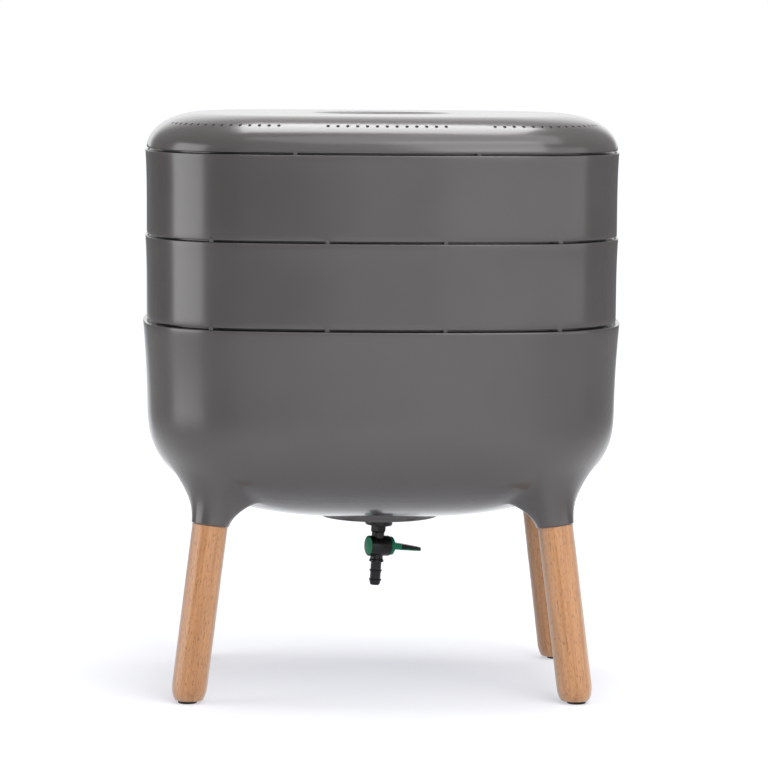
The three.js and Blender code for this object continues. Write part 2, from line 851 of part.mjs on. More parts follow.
function makeSeal(side) {
  const middleRadius = plugRadius - sealRadius + seat / 3;
  const ringGeometry = new THREE.TorusGeometry(middleRadius, sealRadius, sealSides, roundSides);
  return alongPlug(ringGeometry.translate(0, 0, side * sealOffset));
}

// A blade that tapers from one thickness to another along X, with a rounded end
function blade({ from, to, rootThickness, tipThickness, width, round }) {
  const outline = new THREE.Shape();
  outline.moveTo(from, -width / 2);
  outline.lineTo(to - round, -width / 2);
  outline.quadraticCurveTo(to, -width / 2, to, 0);
  outline.quadraticCurveTo(to, width / 2, to - round, width / 2);
  outline.lineTo(from, width / 2);
  outline.closePath();
  const geometry = new THREE.ExtrudeGeometry(outline, {
    depth: rootThickness, bevelEnabled: false, curveSegments: curveSteps,
  });
  geometry.translate(0, 0, -rootThickness / 2);
  const vertices = geometry.getAttribute('position');
  for (let i = 0; i < vertices.count; i += 1) {
    const share = (vertices.getX(i) - from) / (to - from);
    const thickness = rootThickness + (tipThickness - rootThickness) * share;
    vertices.setZ(i, (vertices.getZ(i) * thickness) / rootThickness);
  }
  return geometry.translate(0, 0, housingMiddle);
}

const leverRoot = housingRight + seat + leverCollarLength;
const leverTip = leverRoot + leverReach;
const gripStart = leverRoot + leverBlockLength + seat;

function leverThickness(x) {
  const share = (x - leverRoot) / leverReach;
  return leverRootThickness + (leverTipThickness - leverRootThickness) * share;
}

function makeLever() {
  const collar = solid(alongPlug(cylinder(leverCollarRadius, housingRight + seat, leverRoot)));
  const socketSide = driveSide + 2 * seat;
  const socket = box(socketSide, socketSide, housingRight - overrun, housingRight + driveLength + seat);
  const blockEnd = leverRoot + leverBlockLength;
  const block = blade({
    from: leverRoot - seat,
    to: blockEnd,
    rootThickness: leverRootThickness,
    tipThickness: leverThickness(blockEnd),
    width: leverWidth,
    round: 0,
  });
  const tongue = blade({
    from: blockEnd - seat,
    to: blockEnd + tongueLength,
    rootThickness: tongueThickness,
    tipThickness: tongueThickness,
    width: tongueWidth,
    round: tongueWidth / 2,
  });
  return cut(join(collar, solid(block), solid(tongue)), solid(alongPlug(socket)));
}

function makeLeverGrip() {
  const sleeve = blade({
    from: gripStart,
    to: leverTip,
    rootThickness: leverThickness(gripStart),
    tipThickness: leverTipThickness,
    width: leverWidth,
    round: leverWidth / 2,
  });
  const pocket = blade({
    from: gripStart - overrun,
    to: gripStart + tongueLength,
    rootThickness: tongueThickness + 2 * seat,
    tipThickness: tongueThickness + 2 * seat,
    width: tongueWidth + 2 * seat,
    round: tongueWidth / 2,
  });
  return cut(solid(sleeve), solid(pocket));
}

// Assembly

place('base', makeBase(), finishes.shell);

const trays = [['lower_tray', 0], ['upper_tray', 1]];
for (const [name, level] of trays) {
  place(name, makeTray(), finishes.shell).position.z = baseRimHeight + level * trayPitch;
}
place('lid', makeLid(), finishes.shell).position.z = baseRimHeight + trays.length * trayPitch + ventGap;

for (const legCorner of legCorners) {
  const frame = legFrame(legCorner);
  const carrier = new THREE.Group();
  carrier.position.copy(frame.position);
  carrier.quaternion.copy(frame.quaternion);
  wormery.add(carrier);
  place(`leg_${legCorner.name}`, makeLeg(legCorner), finishes.beech, carrier);
  place(`leg_screw_${legCorner.name}`, makeScrew(), finishes.steel, carrier);
  place(`leg_washer_${legCorner.name}`, makeWasher(), finishes.seal, carrier);
  place(`glide_${legCorner.name}`, makeGlide(), finishes.black).position.copy(legFoot(legCorner));
}

const tap = new THREE.Group();
tap.position.z = bellyHeight - bossDrop;
tap.rotation.y = THREE.MathUtils.degToRad(tapLeanAngle);
wormery.add(tap);
place('tap_body', makeTapBody(), finishes.black, tap);

const plugCarrier = new THREE.Group();
plugCarrier.rotation.z = turnAngle;
tap.add(plugCarrier);
place('tap_plug', makePlug(), finishes.green, plugCarrier);
place('tap_seal_left', makeSeal(-1), finishes.seal, plugCarrier);
place('tap_seal_right', makeSeal(1), finishes.seal, plugCarrier);
place('tap_lever', makeLever(), finishes.green, plugCarrier);
place('tap_lever_grip', makeLeverGrip(), finishes.black, plugCarrier);

// The gaskets lie flat on the sump and are squeezed to the tap's lean on the other face
tap.updateMatrixWorld(true);
const bossFace = bellyHeight - bossDrop;
const seatTop = bellyHeight + drainSeatRise;

function leaned(geometry) {
  return solid(geometry.applyMatrix4(tap.matrixWorld));
}

const tailHole = tailRadius + seat;
const wide = gasketRadius * 3;
const outerRing = solid(tube(gasketRadius, tailHole, bossFace - gasketThickness * 2, bossFace - seat));
const underLean = box(wide, wide, -wide, -gasketThickness);
place('tap_gasket', cut(outerRing, leaned(underLean)), finishes.rubber);

const innerBase = seatTop + seat;
const innerFace = bossDrop + drainSeatRise + innerGasketThickness;
const innerTop = innerBase + innerGasketThickness * 2;
const innerRing = solid(tube(innerGasketRadius, drainHoleRadius, innerBase, innerTop));
const overLean = box(wide, wide, innerFace, innerFace + wide);
place('tap_inner_gasket', cut(innerRing, leaned(overLean)), finishes.rubber);

const nut = cut(
  solid(hexagon(nutAcross, innerFace + seat, innerFace + seat + nutHeight)),
  solid(cylinder(tailHole, innerFace - overrun, innerFace + nutHeight + overrun)),
);
place('tap_lock_nut', nut, finishes.black, tap);

export default wormery;
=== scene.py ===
"""The dressed scene of a wormery: trays and a vented lid on a sump with beech legs and a tap."""

import math

import bmesh
import bpy
import numpy as np
from bpy.props import FloatProperty, IntProperty, PointerProperty, StringProperty
from mathutils import Matrix, Vector


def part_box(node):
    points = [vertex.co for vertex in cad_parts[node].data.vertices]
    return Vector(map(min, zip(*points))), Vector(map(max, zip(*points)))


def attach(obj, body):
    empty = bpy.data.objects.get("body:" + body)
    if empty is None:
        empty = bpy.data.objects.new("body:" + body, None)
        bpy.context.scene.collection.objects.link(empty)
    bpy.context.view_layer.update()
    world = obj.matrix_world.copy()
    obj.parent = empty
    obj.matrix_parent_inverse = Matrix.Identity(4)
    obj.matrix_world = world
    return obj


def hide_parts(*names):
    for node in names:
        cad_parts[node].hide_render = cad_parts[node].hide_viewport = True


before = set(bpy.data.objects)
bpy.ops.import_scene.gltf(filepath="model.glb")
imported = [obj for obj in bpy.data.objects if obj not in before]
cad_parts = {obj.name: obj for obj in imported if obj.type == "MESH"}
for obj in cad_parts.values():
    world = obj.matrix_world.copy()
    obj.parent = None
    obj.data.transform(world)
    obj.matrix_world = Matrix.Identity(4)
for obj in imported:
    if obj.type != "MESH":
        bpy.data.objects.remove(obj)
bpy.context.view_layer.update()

bl_info = {
    "name": "Wormery scene",
    "version": (1, 0, 0),
    "blender": (4, 5, 0),
    "location": "View3D > Sidebar > Wormery",
    "description": "Builds the shells, legs, tap, finishes, lights and camera of a worm composting bin",
    "category": "Object",
}

MM = 0.001

# Sizes that the frame gives
BASE_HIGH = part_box("base")[1]
TRAY_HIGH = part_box("upper_tray")[1]
LID_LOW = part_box("lid")[0]

# Gap between seated pieces, and how far a cutting tool runs past what it cuts
GAP = 0.3 * MM
OVERRUN = 4 * MM
LEG_SIGNS = {"rear_right": (1, 1), "rear_left": (-1, 1), "front_left": (-1, -1), "front_right": (1, -1)}


# Sizes and colours that a user would change

def length(millimetres, about):
    """A length, stored in metres, from its default in millimetres"""
    return FloatProperty, {"default": millimetres * MM, "description": about, "min": 0.0, "unit": "LENGTH"}


def number(default, about, low=0):
    """A value without a unit: a count where its default is whole, or else a share or a power"""
    prop = IntProperty if isinstance(default, int) else FloatProperty
    return prop, {"default": default, "description": about, "min": low}


def turn(degrees, about):
    """An angle from its default in degrees"""
    return FloatProperty, {"default": math.radians(degrees), "description": about, "subtype": "ANGLE"}


def colour(hex_value, about):
    """A colour, kept as an sRGB hex value"""
    return StringProperty, {"default": hex_value, "description": about}


def group(kind, about):
    """A group of sizes or colours"""
    return PointerProperty, {"type": kind, "description": about}


def named(kind):
    """Makes the properties of a group, each named after its attribute"""
    for attribute, (prop, settings) in kind.__annotations__.items():
        kind.__annotations__[attribute] = prop(name=attribute.replace("_", " ").capitalize(), **settings)
    return kind


@named
class PlanSizes(bpy.types.PropertyGroup):
    """The outline of the tray rims, seen from above"""

    half_width: length(TRAY_HIGH.x / MM, "From the middle to the rim's side")
    half_depth: length(TRAY_HIGH.y / MM, "From the middle to the rim's front")
    front_radius: length(918, "Radius of the flat arcs at front and back")
    side_radius: length(556, "Radius of the flat arcs at the sides")
    corner_radius: length(122, "Radius of the corner arcs")
    rim_wall: length(3, "Wall at the rims, above the spigot land")
    spigot_depth: length(12, "How far a piece stands in the one below")
    spigot_play: length(1, "Gap round a spigot and under it")
    spigot_wall: length(2.5, "Wall of the spigots")


@named
class SumpSizes(bpy.types.PropertyGroup):
    """The sump with its bowl, leg sockets and drain boss"""

    rim_height: length(BASE_HIGH.z / MM, "Height of the rim")
    rim_outset: length(2.6, "How far the rim stands outside the outline")
    wall_inset: length(2.1, "How far the shoulder stands inside the outline")
    wall: length(3.5, "Wall thickness")
    shoulder_height: length(289, "Height at which the wall turns into the bowl")
    belly_height: length(182, "Lowest height of the bowl")
    plan_power: number(2.6, "Roundness of the bowl across")
    drop_power: number(2.27, "Roundness of the bowl downwards")
    flare_power: number(2.0, "How late the wall flares towards the rim")
    socket_inset_x: length(70.9, "From the outline's side to a socket")
    socket_inset_y: length(68.4, "From the outline's front to a socket")
    lip_height: length(184, "Height of the middle of a socket's lip")
    splay_across: turn(7.07, "Lean of a leg to its side")
    splay_along: turn(4.86, "Lean of a leg to the front or back")
    lip_radius: length(19.8, "Outside radius of a socket's lip")
    pocket_radius: length(14.3, "Radius of the pocket for a leg's tenon")
    pocket_depth: length(30.3, "Depth of the pocket for a leg's tenon")
    tube_radius: length(17.3, "Outside radius of a socket's tube in the sump")
    tube_top: length(36.3, "Height of the tube above the lip")
    flare_top: turn(20, "Turn down the bowl at which the flares start")
    flare_foot: turn(48, "Turn down the bowl at which the flares end")
    bowl_handle: number(0.3, "How long a flare follows the bowl")
    lip_handle: number(0.25, "How long a flare follows the leg")
    boss_radius: length(63, "Radius of the flat boss for the tap")
    boss_drop: length(3.5, "How far the boss stands below the bowl")
    drain_radius: length(10, "Radius of the drain hole")
    seat_radius: length(16, "Radius of the raised seat round the drain")
    seat_rise: length(5, "Height of the seat above the bowl's underside")
    corner_columns: number(12, "Faces across a corner", 6)


@named
class TraySizes(bpy.types.PropertyGroup):
    """The two stacking trays"""

    pitch: length(89.6, "Height that a tray adds to the stack")
    vent_gap: length(2.3, "Gap that the lugs keep open above a rim")
    wall: length(3, "Wall thickness below the land")
    wall_inset: length(1.5, "How far the foot stands inside the outline")
    flare_power: number(4.0, "How late the wall flares towards the rim")
    floor: length(3, "Floor thickness")
    hole_radius: length(4, "Radius of the drain holes in the floor")
    hole_pitch: length(35, "Distance between drain holes")
    hole_columns: number(9, "Drain holes across", 2)
    hole_rows: number(5, "Drain holes from front to back", 2)
    neck: length(8, "How far the wall draws in behind a seam")
    lug_width: length(4, "Width of a spacer lug")
    lug_reach: length(2.6, "Depth of a spacer lug")
    inner_lug: length(60, "From the middle to the inner lugs")
    outer_lug: length(178, "From the middle to the outer lugs")


@named
class LidSizes(bpy.types.PropertyGroup):
    """The lid with its vents, finger dish and grip"""

    inset: length(1.5, "How far the lid stands inside the outline")
    wall: length(3, "Wall thickness")
    rise: length(36.2, "Height of the top above the edge")
    run_x: length(58, "Width of the rounded shoulder at the sides")
    run_y: length(50, "Width of the rounded shoulder at the front")
    power: number(2.0, "Squareness of the rounded shoulder")
    skirt_depth: length(10, "How far the skirt stands in the upper tray")
    skirt_root: length(5, "Height of the skirt's upper end")
    lug: length(93, "From the middle to the lugs")
    vent_radius: length(1.8, "Radius of a vent")
    vent_pitch: length(10, "Distance between vents")
    vent_inset: length(16.6, "From the front edge in to the line of vents")
    middle_vents: number(13, "Vents in the middle row", 3)
    side_vents: number(15, "Vents in each side row", 3)
    vent_gap: length(50, "Gap between the middle row and a side row")
    dish_length: length(73.5, "Half the length of the finger dish")
    dish_width: length(46, "Half the width of the finger dish")
    dish_depth: length(27.6, "Depth of the finger dish")
    grip_length: length(81, "Half the length of the grip")
    grip_width: length(24, "Width of the grip")
    grip_rise: length(0.2, "Height of the grip above the lid")
    grip_share: number(0.62, "Share of its half length at which the grip turns down")


@named
class LegSizes(bpy.types.PropertyGroup):
    """The turned legs and the glides under them"""

    radius: length(18.4, "Radius of a leg")
    tenon_radius: length(14, "Radius of the tenon in the socket")
    tenon_length: length(30, "Length of the tenon")
    end_radius: length(9.5, "Radius of the flat at the foot")
    round_length: length(19, "Height over which the foot is rounded")
    glide_radius: length(10, "Radius of the glide under the foot")
    glide_thickness: length(3, "Thickness of the glide")
    nail_radius: length(2, "Radius of the glide's nail")
    nail_length: length(14, "Length of the glide's nail")


@named
class TapSizes(bpy.types.PropertyGroup):
    """The drain tap, its plug and its lever"""

    lean: turn(3.4, "How far the tap hangs out of square")
    turn: turn(24, "How far the plug's axis is turned to the back")
    flange_top: length(3.3, "From the boss down to the flange")
    flange_radius: length(14.75, "Radius of the flange")
    flange_thickness: length(7.6, "Thickness of the flange")
    tail_radius: length(8.3, "Radius of the threaded tail in the sump")
    tail_top: length(20, "Height of the tail above the boss face")
    thread_pitch: length(2, "Distance between the tail's threads")
    neck_across: length(15.4, "Width across the flats of the hexagonal neck")
    neck_length: length(8, "Length of the hexagonal neck")
    neck_turn: turn(26, "Turn of the hexagonal neck")
    throat_radius: length(6.75, "Radius of the throat above the housing")
    housing_radius: length(11, "Radius of the plug's housing")
    housing_left: length(10.5, "From the middle to the housing's left end")
    housing_right: length(13, "From the middle to the housing's right end")
    housing_drop: length(33.5, "From the boss down to the plug's axis")
    collar_radius: length(7.9, "Radius of the collar above the hose tail")
    collar_length: length(6, "Length of that collar")
    hose_radius: length(5.7, "Radius of the hose tail")
    hose_length: length(31, "Length of the hose tail")
    barb_radius: length(6.9, "Radius of the hose tail's barbs")
    barb_first: length(14.6, "From the housing down to the first barb")
    barb_pitch: length(10, "Distance between barbs")
    bore_radius: length(3.5, "Radius of the waterway")
    plug_radius: length(7.3, "Radius of the plug")
    plug_gap: length(0.3, "Gap round the plug")
    groove_place: length(6, "From the middle to a seal's groove")
    groove_width: length(2.4, "Width of a seal's groove")
    groove_depth: length(2, "Depth of a seal's groove")
    disc_radius: length(9.6, "Radius of the plug's disc")
    disc_thickness: length(1.8, "Thickness of the plug's disc")
    drive_side: length(8, "Side of the square that drives the plug")
    drive_length: length(3, "Length of that square")
    lever_radius: length(10, "Radius of the lever's collar")
    lever_collar: length(3.8, "Length of the lever's collar")
    lever_reach: length(34.5, "Length of the lever past its collar")
    lever_width: length(14, "Width of the lever")
    lever_root: length(7.5, "Thickness of the lever at its root")
    lever_tip: length(4, "Thickness of the lever at its tip")
    lever_block: length(9, "Length of the lever's bare green root")
    lever_droop: length(3.6, "How far the lever's tip bends down")
    lever_plate: length(1.7, "Thickness of the green plate under the black grip")


@named
class FinishColours(bpy.types.PropertyGroup):
    """The colours of the finishes, as sRGB hex values"""

    shell: colour("#514e4e", "Taupe grey polypropylene")
    shell_deep: colour("#4c4949", "The shell where the flow left it darker")
    wood: colour("#ce9768", "Oiled beech")
    wood_dark: colour("#b67e51", "The darker bands of the beech")
    wood_fleck: colour("#885836", "The short flecks of the beech")
    black: colour("#0e0f11", "Black nylon")
    green: colour("#15805f", "Green moulded plastic")
    rubber: colour("#8f9294", "Grey soft rubber")
    seal: colour("#2a2a2b", "Black soft rubber")
    steel: colour("#b9bcc0", "Plain stainless steel")


@named
class StageSizes(bpy.types.PropertyGroup):
    """The camera, the lamps and the floor"""

    distance: length(3920, "From the middle to the camera")
    height: length(707.2, "Height of the camera")
    azimuth: turn(-1.808, "Camera's turn round the object")
    pitch: turn(5.654, "Camera's look downwards")
    roll: turn(0.389, "Camera's roll")
    lens: number(173.1, "Focal length in millimetres")
    shift: number(0.00495, "Sideways shift of the frame", -2)
    fill: number(0.27, "Strength of the light from all round")
    lamps: number(1.0, "Factor on the power of all lamps")


@named
class WormerySettings(bpy.types.PropertyGroup):
    """All sizes and colours of the wormery and its stage"""

    plan: group(PlanSizes, "Outline sizes")
    sump: group(SumpSizes, "Sump sizes")
    tray: group(TraySizes, "Tray sizes")
    lid: group(LidSizes, "Lid sizes")
    leg: group(LegSizes, "Leg sizes")
    tap: group(TapSizes, "Tap sizes")
    colours: group(FinishColours, "Finish colours")
    stage: group(StageSizes, "Camera and lamps")


# Materials

def linear(hex_colour):
    """An sRGB hex colour as linear values with full alpha"""
    parts = [int(hex_colour[i:i + 2], 16) / 255 for i in (1, 3, 5)]
    return [c / 12.92 if c <= 0.04045 else ((c + 0.055) / 1.055) ** 2.4 for c in parts] + [1.0]


def add(tree, kind, inputs=None, **settings):
    """Adds a node with its settings. An input takes a value, a socket, or the first output of a node"""
    node = tree.nodes.new(kind)
    node.location = (200 * len(tree.nodes), 0)
    for name, value in settings.items():
        setattr(node, name, value)
    for key, value in (inputs or {}).items():
        if isinstance(value, bpy.types.Node):
            value = value.outputs[0]
        if isinstance(value, bpy.types.NodeSocket):
            tree.links.new(value, node.inputs[key])
        else:
            node.inputs[key].default_value = value
    return node


def noise(tree, where, size, detail, **inputs):
    """A noise with a grain of a real size"""
    return add(tree, "ShaderNodeTexNoise", {"Vector": where, "Scale": 1 / size, "Detail": detail, **inputs})


def remap(tree, value, start, end, low, high, how="LINEAR"):
    """A value that runs from start to end, mapped to run from low to high"""
    return add(tree, "ShaderNodeMapRange", {
        "Value": value, "From Min": start, "From Max": end, "To Min": low, "To Max": high,
    }, interpolation_type=how)


def tones(tree, value, *stops):
    """A Color Ramp with two (place, hex colour) stops"""
    node = add(tree, "ShaderNodeValToRGB", {"Fac": value})
    for element, (place, hex_colour) in zip(node.color_ramp.elements, stops):
        element.position, element.color = place, linear(hex_colour)
    return node


def calculate(tree, operation, first, second=0.0):
    """A Math node"""
    return add(tree, "ShaderNodeMath", {0: first, 1: second}, operation=operation)


def new_material(name):
    """An empty node material, its tree and its Object coordinates"""
    material = bpy.data.materials.new(name)
    material.use_nodes = True
    tree = material.node_tree
    tree.nodes.clear()
    return material, tree, add(tree, "ShaderNodeTexCoord").outputs["Object"]


def surface(tree, tone, gloss, roughness, height, bump, **inputs):
    """Ends a tree in a Principled shader with a varied roughness and a bump of (strength, depth)"""
    skin = add(tree, "ShaderNodeBump", {"Strength": bump[0], "Distance": bump[1], "Height": height})
    inputs = {key.replace("_", " "): value for key, value in inputs.items()}
    shader = add(tree, "ShaderNodeBsdfPrincipled", {
        "Base Color": tone, "Roughness": remap(tree, gloss, 0, 1, *roughness), "Normal": skin, **inputs})
    add(tree, "ShaderNodeOutputMaterial", {"Surface": shader})


def moulded(name, light, dark, grain, depth, roughness, gloss_level=0.5, coat=0.0):
    """A moulded plastic or rubber: a broad tone drift and a fine spark-eroded mould grain"""
    material, tree, where = new_material(name)
    tone = tones(tree, noise(tree, where, 120 * MM, 2.0), (0.3, dark), (0.7, light))
    skin = noise(tree, where, grain, 3.0, Roughness=0.6)
    surface(tree, tone, skin, (roughness - 0.04, roughness + 0.04), skin, (0.5, depth),
            IOR=1.49, Specular_IOR_Level=gloss_level, Coat_Weight=coat, Coat_IOR=1.25, Coat_Roughness=0.15)
    return material


def beech(name, colours, axis_frame, start):
    """Oiled beech with its grain along a leg: straight bands, and the short flecks of its rays"""
    material, tree, where = new_material(name)
    place, rotation, _ = axis_frame.inverted().decompose()
    along = add(tree, "ShaderNodeMapping", {
        "Vector": where, "Location": place + Vector(start), "Rotation": rotation.to_euler()})
    # Growth bands 4 mm apart, drawn out thirty times along the leg
    banded = add(tree, "ShaderNodeMapping", {"Vector": along, "Scale": (1, 1, 1 / 30)})
    bands = noise(tree, banded, 4 * MM, 4.0, Roughness=0.55)
    tone = tones(tree, bands, (0.32, colours.wood_dark), (0.62, colours.wood))
    # Ray flecks, really 0.5 mm wide and 2 to 4 mm long, drawn 0.9 mm wide so that they show
    short = add(tree, "ShaderNodeMapping", {"Vector": along, "Scale": (1, 1, 1 / 6)})
    flecks = noise(tree, short, 0.9 * MM, 1.0)
    mixed = add(tree, "ShaderNodeMix", {
        "Factor": remap(tree, flecks, 0.58, 0.7, 0, 0.75), "A": tone, "B": linear(colours.wood_fleck),
    }, data_type="RGBA")
    # The sheen gives the pale edges of sanded, oiled wood
    surface(tree, mixed.outputs["Result"], bands, (0.26, 0.42), flecks, (0.4, 0.08 * MM),
            IOR=1.46, Sheen_Weight=1.0, Sheen_Roughness=0.5)
    return material


def drawn_steel(name, colours):
    """Plain stainless steel of the screws: bright, with fine turning marks across the head"""
    material, tree, where = new_material(name)
    marks = noise(tree, where, 0.4 * MM, 2.0)
    surface(tree, linear(colours.steel), marks, (0.22, 0.38), marks, (0.3, 0.02 * MM), Metallic=1.0)
    return material


def finish_named(name, colours):
    """A finish of the wormery, made once and then found again by its name"""
    if name in bpy.data.materials:
        return bpy.data.materials[name]
    if name == "plain stainless steel":
        return drawn_steel(name, colours)
    black, green, rubber, seal = colours.black, colours.green, colours.rubber, colours.seal
    return moulded(name, *{
        # Satin polypropylene: broad soft highlights and a skin that hardly shows its fine mould grain
        "satin polypropylene": (colours.shell, colours.shell_deep, 1.5 * MM, 0.012 * MM, 0.25, 0.5, 1.0),
        # Half-gloss black nylon: deep black with narrow highlights on the edges
        "black moulded nylon": (black, black, 0.8 * MM, 0.02 * MM, 0.27, 0.35),
        # Glossy green moulding of the plug and the lever
        "green moulded acetal": (green, green, 0.8 * MM, 0.01 * MM, 0.3, 0.25),
        # Grey rubber of the gaskets: dull, with no clear highlight
        "grey gasket rubber": (rubber, rubber, 0.6 * MM, 0.03 * MM, 0.75),
        # Black rubber of the seals and washers
        "black seal rubber": (seal, seal, 0.6 * MM, 0.03 * MM, 0.7),
    }[name])


# Mesh makers

def around(sides):
    """Even turns round a circle"""
    return np.linspace(0, 2 * math.pi, sides, endpoint=False)


def circle(turns, radius, height, radius_y=None):
    """Points round Z at given turns, on a circle or an ellipse"""
    across = radius if radius_y is None else radius_y
    return np.column_stack([radius * np.cos(turns), across * np.sin(turns), np.full(len(turns), height)])


class Cage:
    """Points and faces of one closed skin, built ring by ring"""

    def __init__(self):
        self.points = []
        self.faces = []

    def ring(self, points):
        """Adds a ring of points and returns their numbers"""
        first = len(self.points)
        self.points.extend(tuple(point) for point in points)
        return list(range(first, len(self.points)))

    def band(self, first, second, skip=()):
        """Joins two rings with a band of faces, except at the columns to skip"""
        for i, j in enumerate([*range(1, len(first)), 0]):
            if i not in skip:
                self.faces.append((first[i], first[j], second[j], second[i]))

    def run(self, rings, start=None):
        """Adds rings one after another, from a ring that is there already if given, and returns the last"""
        made = ([] if start is None else [start]) + [self.ring(ring) for ring in rings]
        for first, second in zip(made, made[1:]):
            self.band(first, second)
        return made[-1]

    def cap(self, ring, middle):
        """Closes a ring with triangles to a middle point"""
        pole = self.ring([middle])[0]
        self.faces += [(ring[i - 1], ring[i], pole) for i in range(len(ring))]

    def closed(self, rings, first_middle, last_middle):
        """Adds a skin through rings that is closed at both ends"""
        first = list(range(len(self.points), len(self.points) + len(rings[0])))
        last = self.run(rings)
        self.cap(first, first_middle)
        self.cap(last, last_middle)

    def piece(self, name, matrix=None, smooth_angle=40):
        """The skin as an object, its faces turned outwards and its soft edges shaded smooth"""
        mesh = bpy.data.meshes.new(name)
        mesh.from_pydata(self.points, [], self.faces)
        if matrix is not None:
            mesh.transform(matrix)
        bm = bmesh.new()
        bm.from_mesh(mesh)
        bmesh.ops.recalc_face_normals(bm, faces=bm.faces)
        bm.to_mesh(mesh)
        bm.free()
        return shaded(show(name, mesh), smooth_angle)


def show(name, mesh):
    """A new object in the scene at the origin"""
    piece = bpy.data.objects.new(name, mesh)
    bpy.context.scene.collection.objects.link(piece)
    return piece


def settled(piece):
    """Turns a piece with live modifiers into the plain mesh that they make"""
    bpy.context.view_layer.update()
    depsgraph = bpy.context.evaluated_depsgraph_get()
    mesh = bpy.data.meshes.new_from_object(piece.evaluated_get(depsgraph), depsgraph=depsgraph)
    piece.modifiers.clear()
    old, piece.data = piece.data, mesh
    bpy.data.meshes.remove(old)
    return piece


def combine(piece, operation, *tools):
    """Joins tools to a piece or cuts them out of it, and removes them"""
    for tool in tools:
        modifier = piece.modifiers.new(operation.title(), "BOOLEAN")
        modifier.operation, modifier.solver, modifier.object = operation, "MANIFOLD", tool
    settled(piece)
    for tool in tools:
        bpy.data.objects.remove(tool)
    if not len(piece.data.polygons):
        raise RuntimeError(f"{piece.name} lost its faces in the {operation.lower()}")
    return piece


def shaded(piece, smooth_angle=35):
    """Shades a piece smooth, except along its sharp edges"""
    piece.data.shade_smooth()
    piece.data.set_sharp_from_angle(angle=math.radians(smooth_angle))
    return piece


def dressed(piece, material, slot, body, *nodes):
    """Gives a finished piece its material and body, and hides the nodes that it stands for; the slot is not
    used
    """
    piece.data.materials.clear()
    piece.data.materials.append(material)
    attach(piece, body)
    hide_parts(*nodes)


def rounded(corners, steps=3):
    """A line through (across, height, radius) corners, each corner rounded by its radius"""
    line = []
    for k, (across, height, radius) in enumerate(corners):
        here = np.array((across, height))
        if radius <= 0 or k in (0, len(corners) - 1):
            line.append(here)
            continue
        before, after = (np.array(corners[k + way][:2]) - here for way in (-1, 1))
        start, end = (here + leg * min(radius / np.linalg.norm(leg), 0.48) for leg in (before, after))
        for t in np.linspace(0, 1, steps + 1):
            line.append((1 - t) ** 2 * start + 2 * t * (1 - t) * here + t * t * end)
    return line


def lathe(name, corners, sides, matrix=None, steps=3):
    """A body turned round Z from (radius, height, rounding) corners whose ends lie on the axis"""
    cage = Cage()
    line = rounded(corners, steps)
    turns = around(sides)
    cage.closed([circle(turns, *corner) for corner in line[1:-1]], (0, 0, line[0][1]), (0, 0, line[-1][1]))
    return cage.piece(name, matrix)


def rod(name, radius, low, high, sides, matrix, rounding=0.0):
    """A plain round bar along Z"""
    corners = [(0, low, 0), (radius, low, rounding), (radius, high, rounding), (0, high, 0)]
    return lathe(name, corners, sides, matrix)


def bar(name, stations, power, sides, matrix=None):
    """A bar along X through (x, half width, low, high) stations with rounded sections"""
    cage = Cage()
    c, s = np.cos(around(sides)), np.sin(around(sides))
    side, rise = (np.sign(wave) * np.abs(wave) ** (2 / power) for wave in (c, s))
    cage.closed([np.column_stack([np.full(sides, x), half * side, (low + high) / 2 + (high - low) / 2 * rise])
                 for x, half, low, high in stations],
                *((x, 0, (low + high) / 2) for x, _, low, high in (stations[0], stations[-1])))
    return cage.piece(name, matrix)


# The outline of the rims

def corner_middle(plan):
    """Middle of the corner arc, which touches the front arc and the side arc from inside"""
    front = Vector((0.0, plan.half_depth - plan.front_radius))
    side = Vector((plan.half_width - plan.side_radius, 0.0))
    to_front, to_side = plan.front_radius - plan.corner_radius, plan.side_radius - plan.corner_radius
    apart = (front - side).length
    along = (to_front ** 2 - to_side ** 2 + apart ** 2) / (2 * apart)
    across = math.sqrt(to_front ** 2 - along ** 2)
    line = (side - front).normalized()
    return front + line * along + Vector((line.y, -line.x)) * across


def outline(plan, front_steps, corner_steps, side_steps):
    """Arc middle, radius and angle of each place round the outline, and where its corners start"""
    corner = corner_middle(plan)
    side_angle = math.atan2(corner.y, corner.x - plan.half_width + plan.side_radius)
    front_angle = math.atan2(corner.x, corner.y - plan.half_depth + plan.front_radius)
    rows, starts = [], []
    for quarter, (sign_x, sign_y) in enumerate(LEG_SIGNS.values()):
        start = quarter * math.pi / 2
        if quarter % 2:
            flat = (0.0, sign_y * (plan.half_depth - plan.front_radius), plan.front_radius)
            before, after, steps = front_angle, side_angle, front_steps
        else:
            flat = (sign_x * (plan.half_width - plan.side_radius), 0.0, plan.side_radius)
            before, after, steps = side_angle, front_angle, side_steps
        rows += [(*flat, a) for a in np.linspace(start - before, start + before, steps, endpoint=False)]
        starts.append(len(rows))
        bend = (sign_x * corner.x, sign_y * corner.y, plan.corner_radius)
        end = start + math.pi / 2 - after
        rows += [(*bend, a) for a in np.linspace(start + before, end, corner_steps, endpoint=False)]
    return np.array(rows), starts


def ring_at(places, outset, height, share_x=1.0, share_y=None):
    """The outline moved out by an outset, drawn in by its shares, at one height"""
    reach = places[:, 2] + outset
    x = (places[:, 0] + reach * np.cos(places[:, 3])) * share_x
    y = (places[:, 1] + reach * np.sin(places[:, 3])) * (share_x if share_y is None else share_y)
    return np.column_stack([x, y, np.full(len(x), height)])


def flare(foot, rim, power, steps):
    """Corners of a wall that flares from its foot to its rim, from its top down to its foot"""
    parts = [k / steps for k in range(steps - 1, 0, -1)]
    return [(foot[0] + (rim[0] - foot[0]) * t ** power, foot[1] + (rim[1] - foot[1]) * t, 0) for t in parts]


# Sump

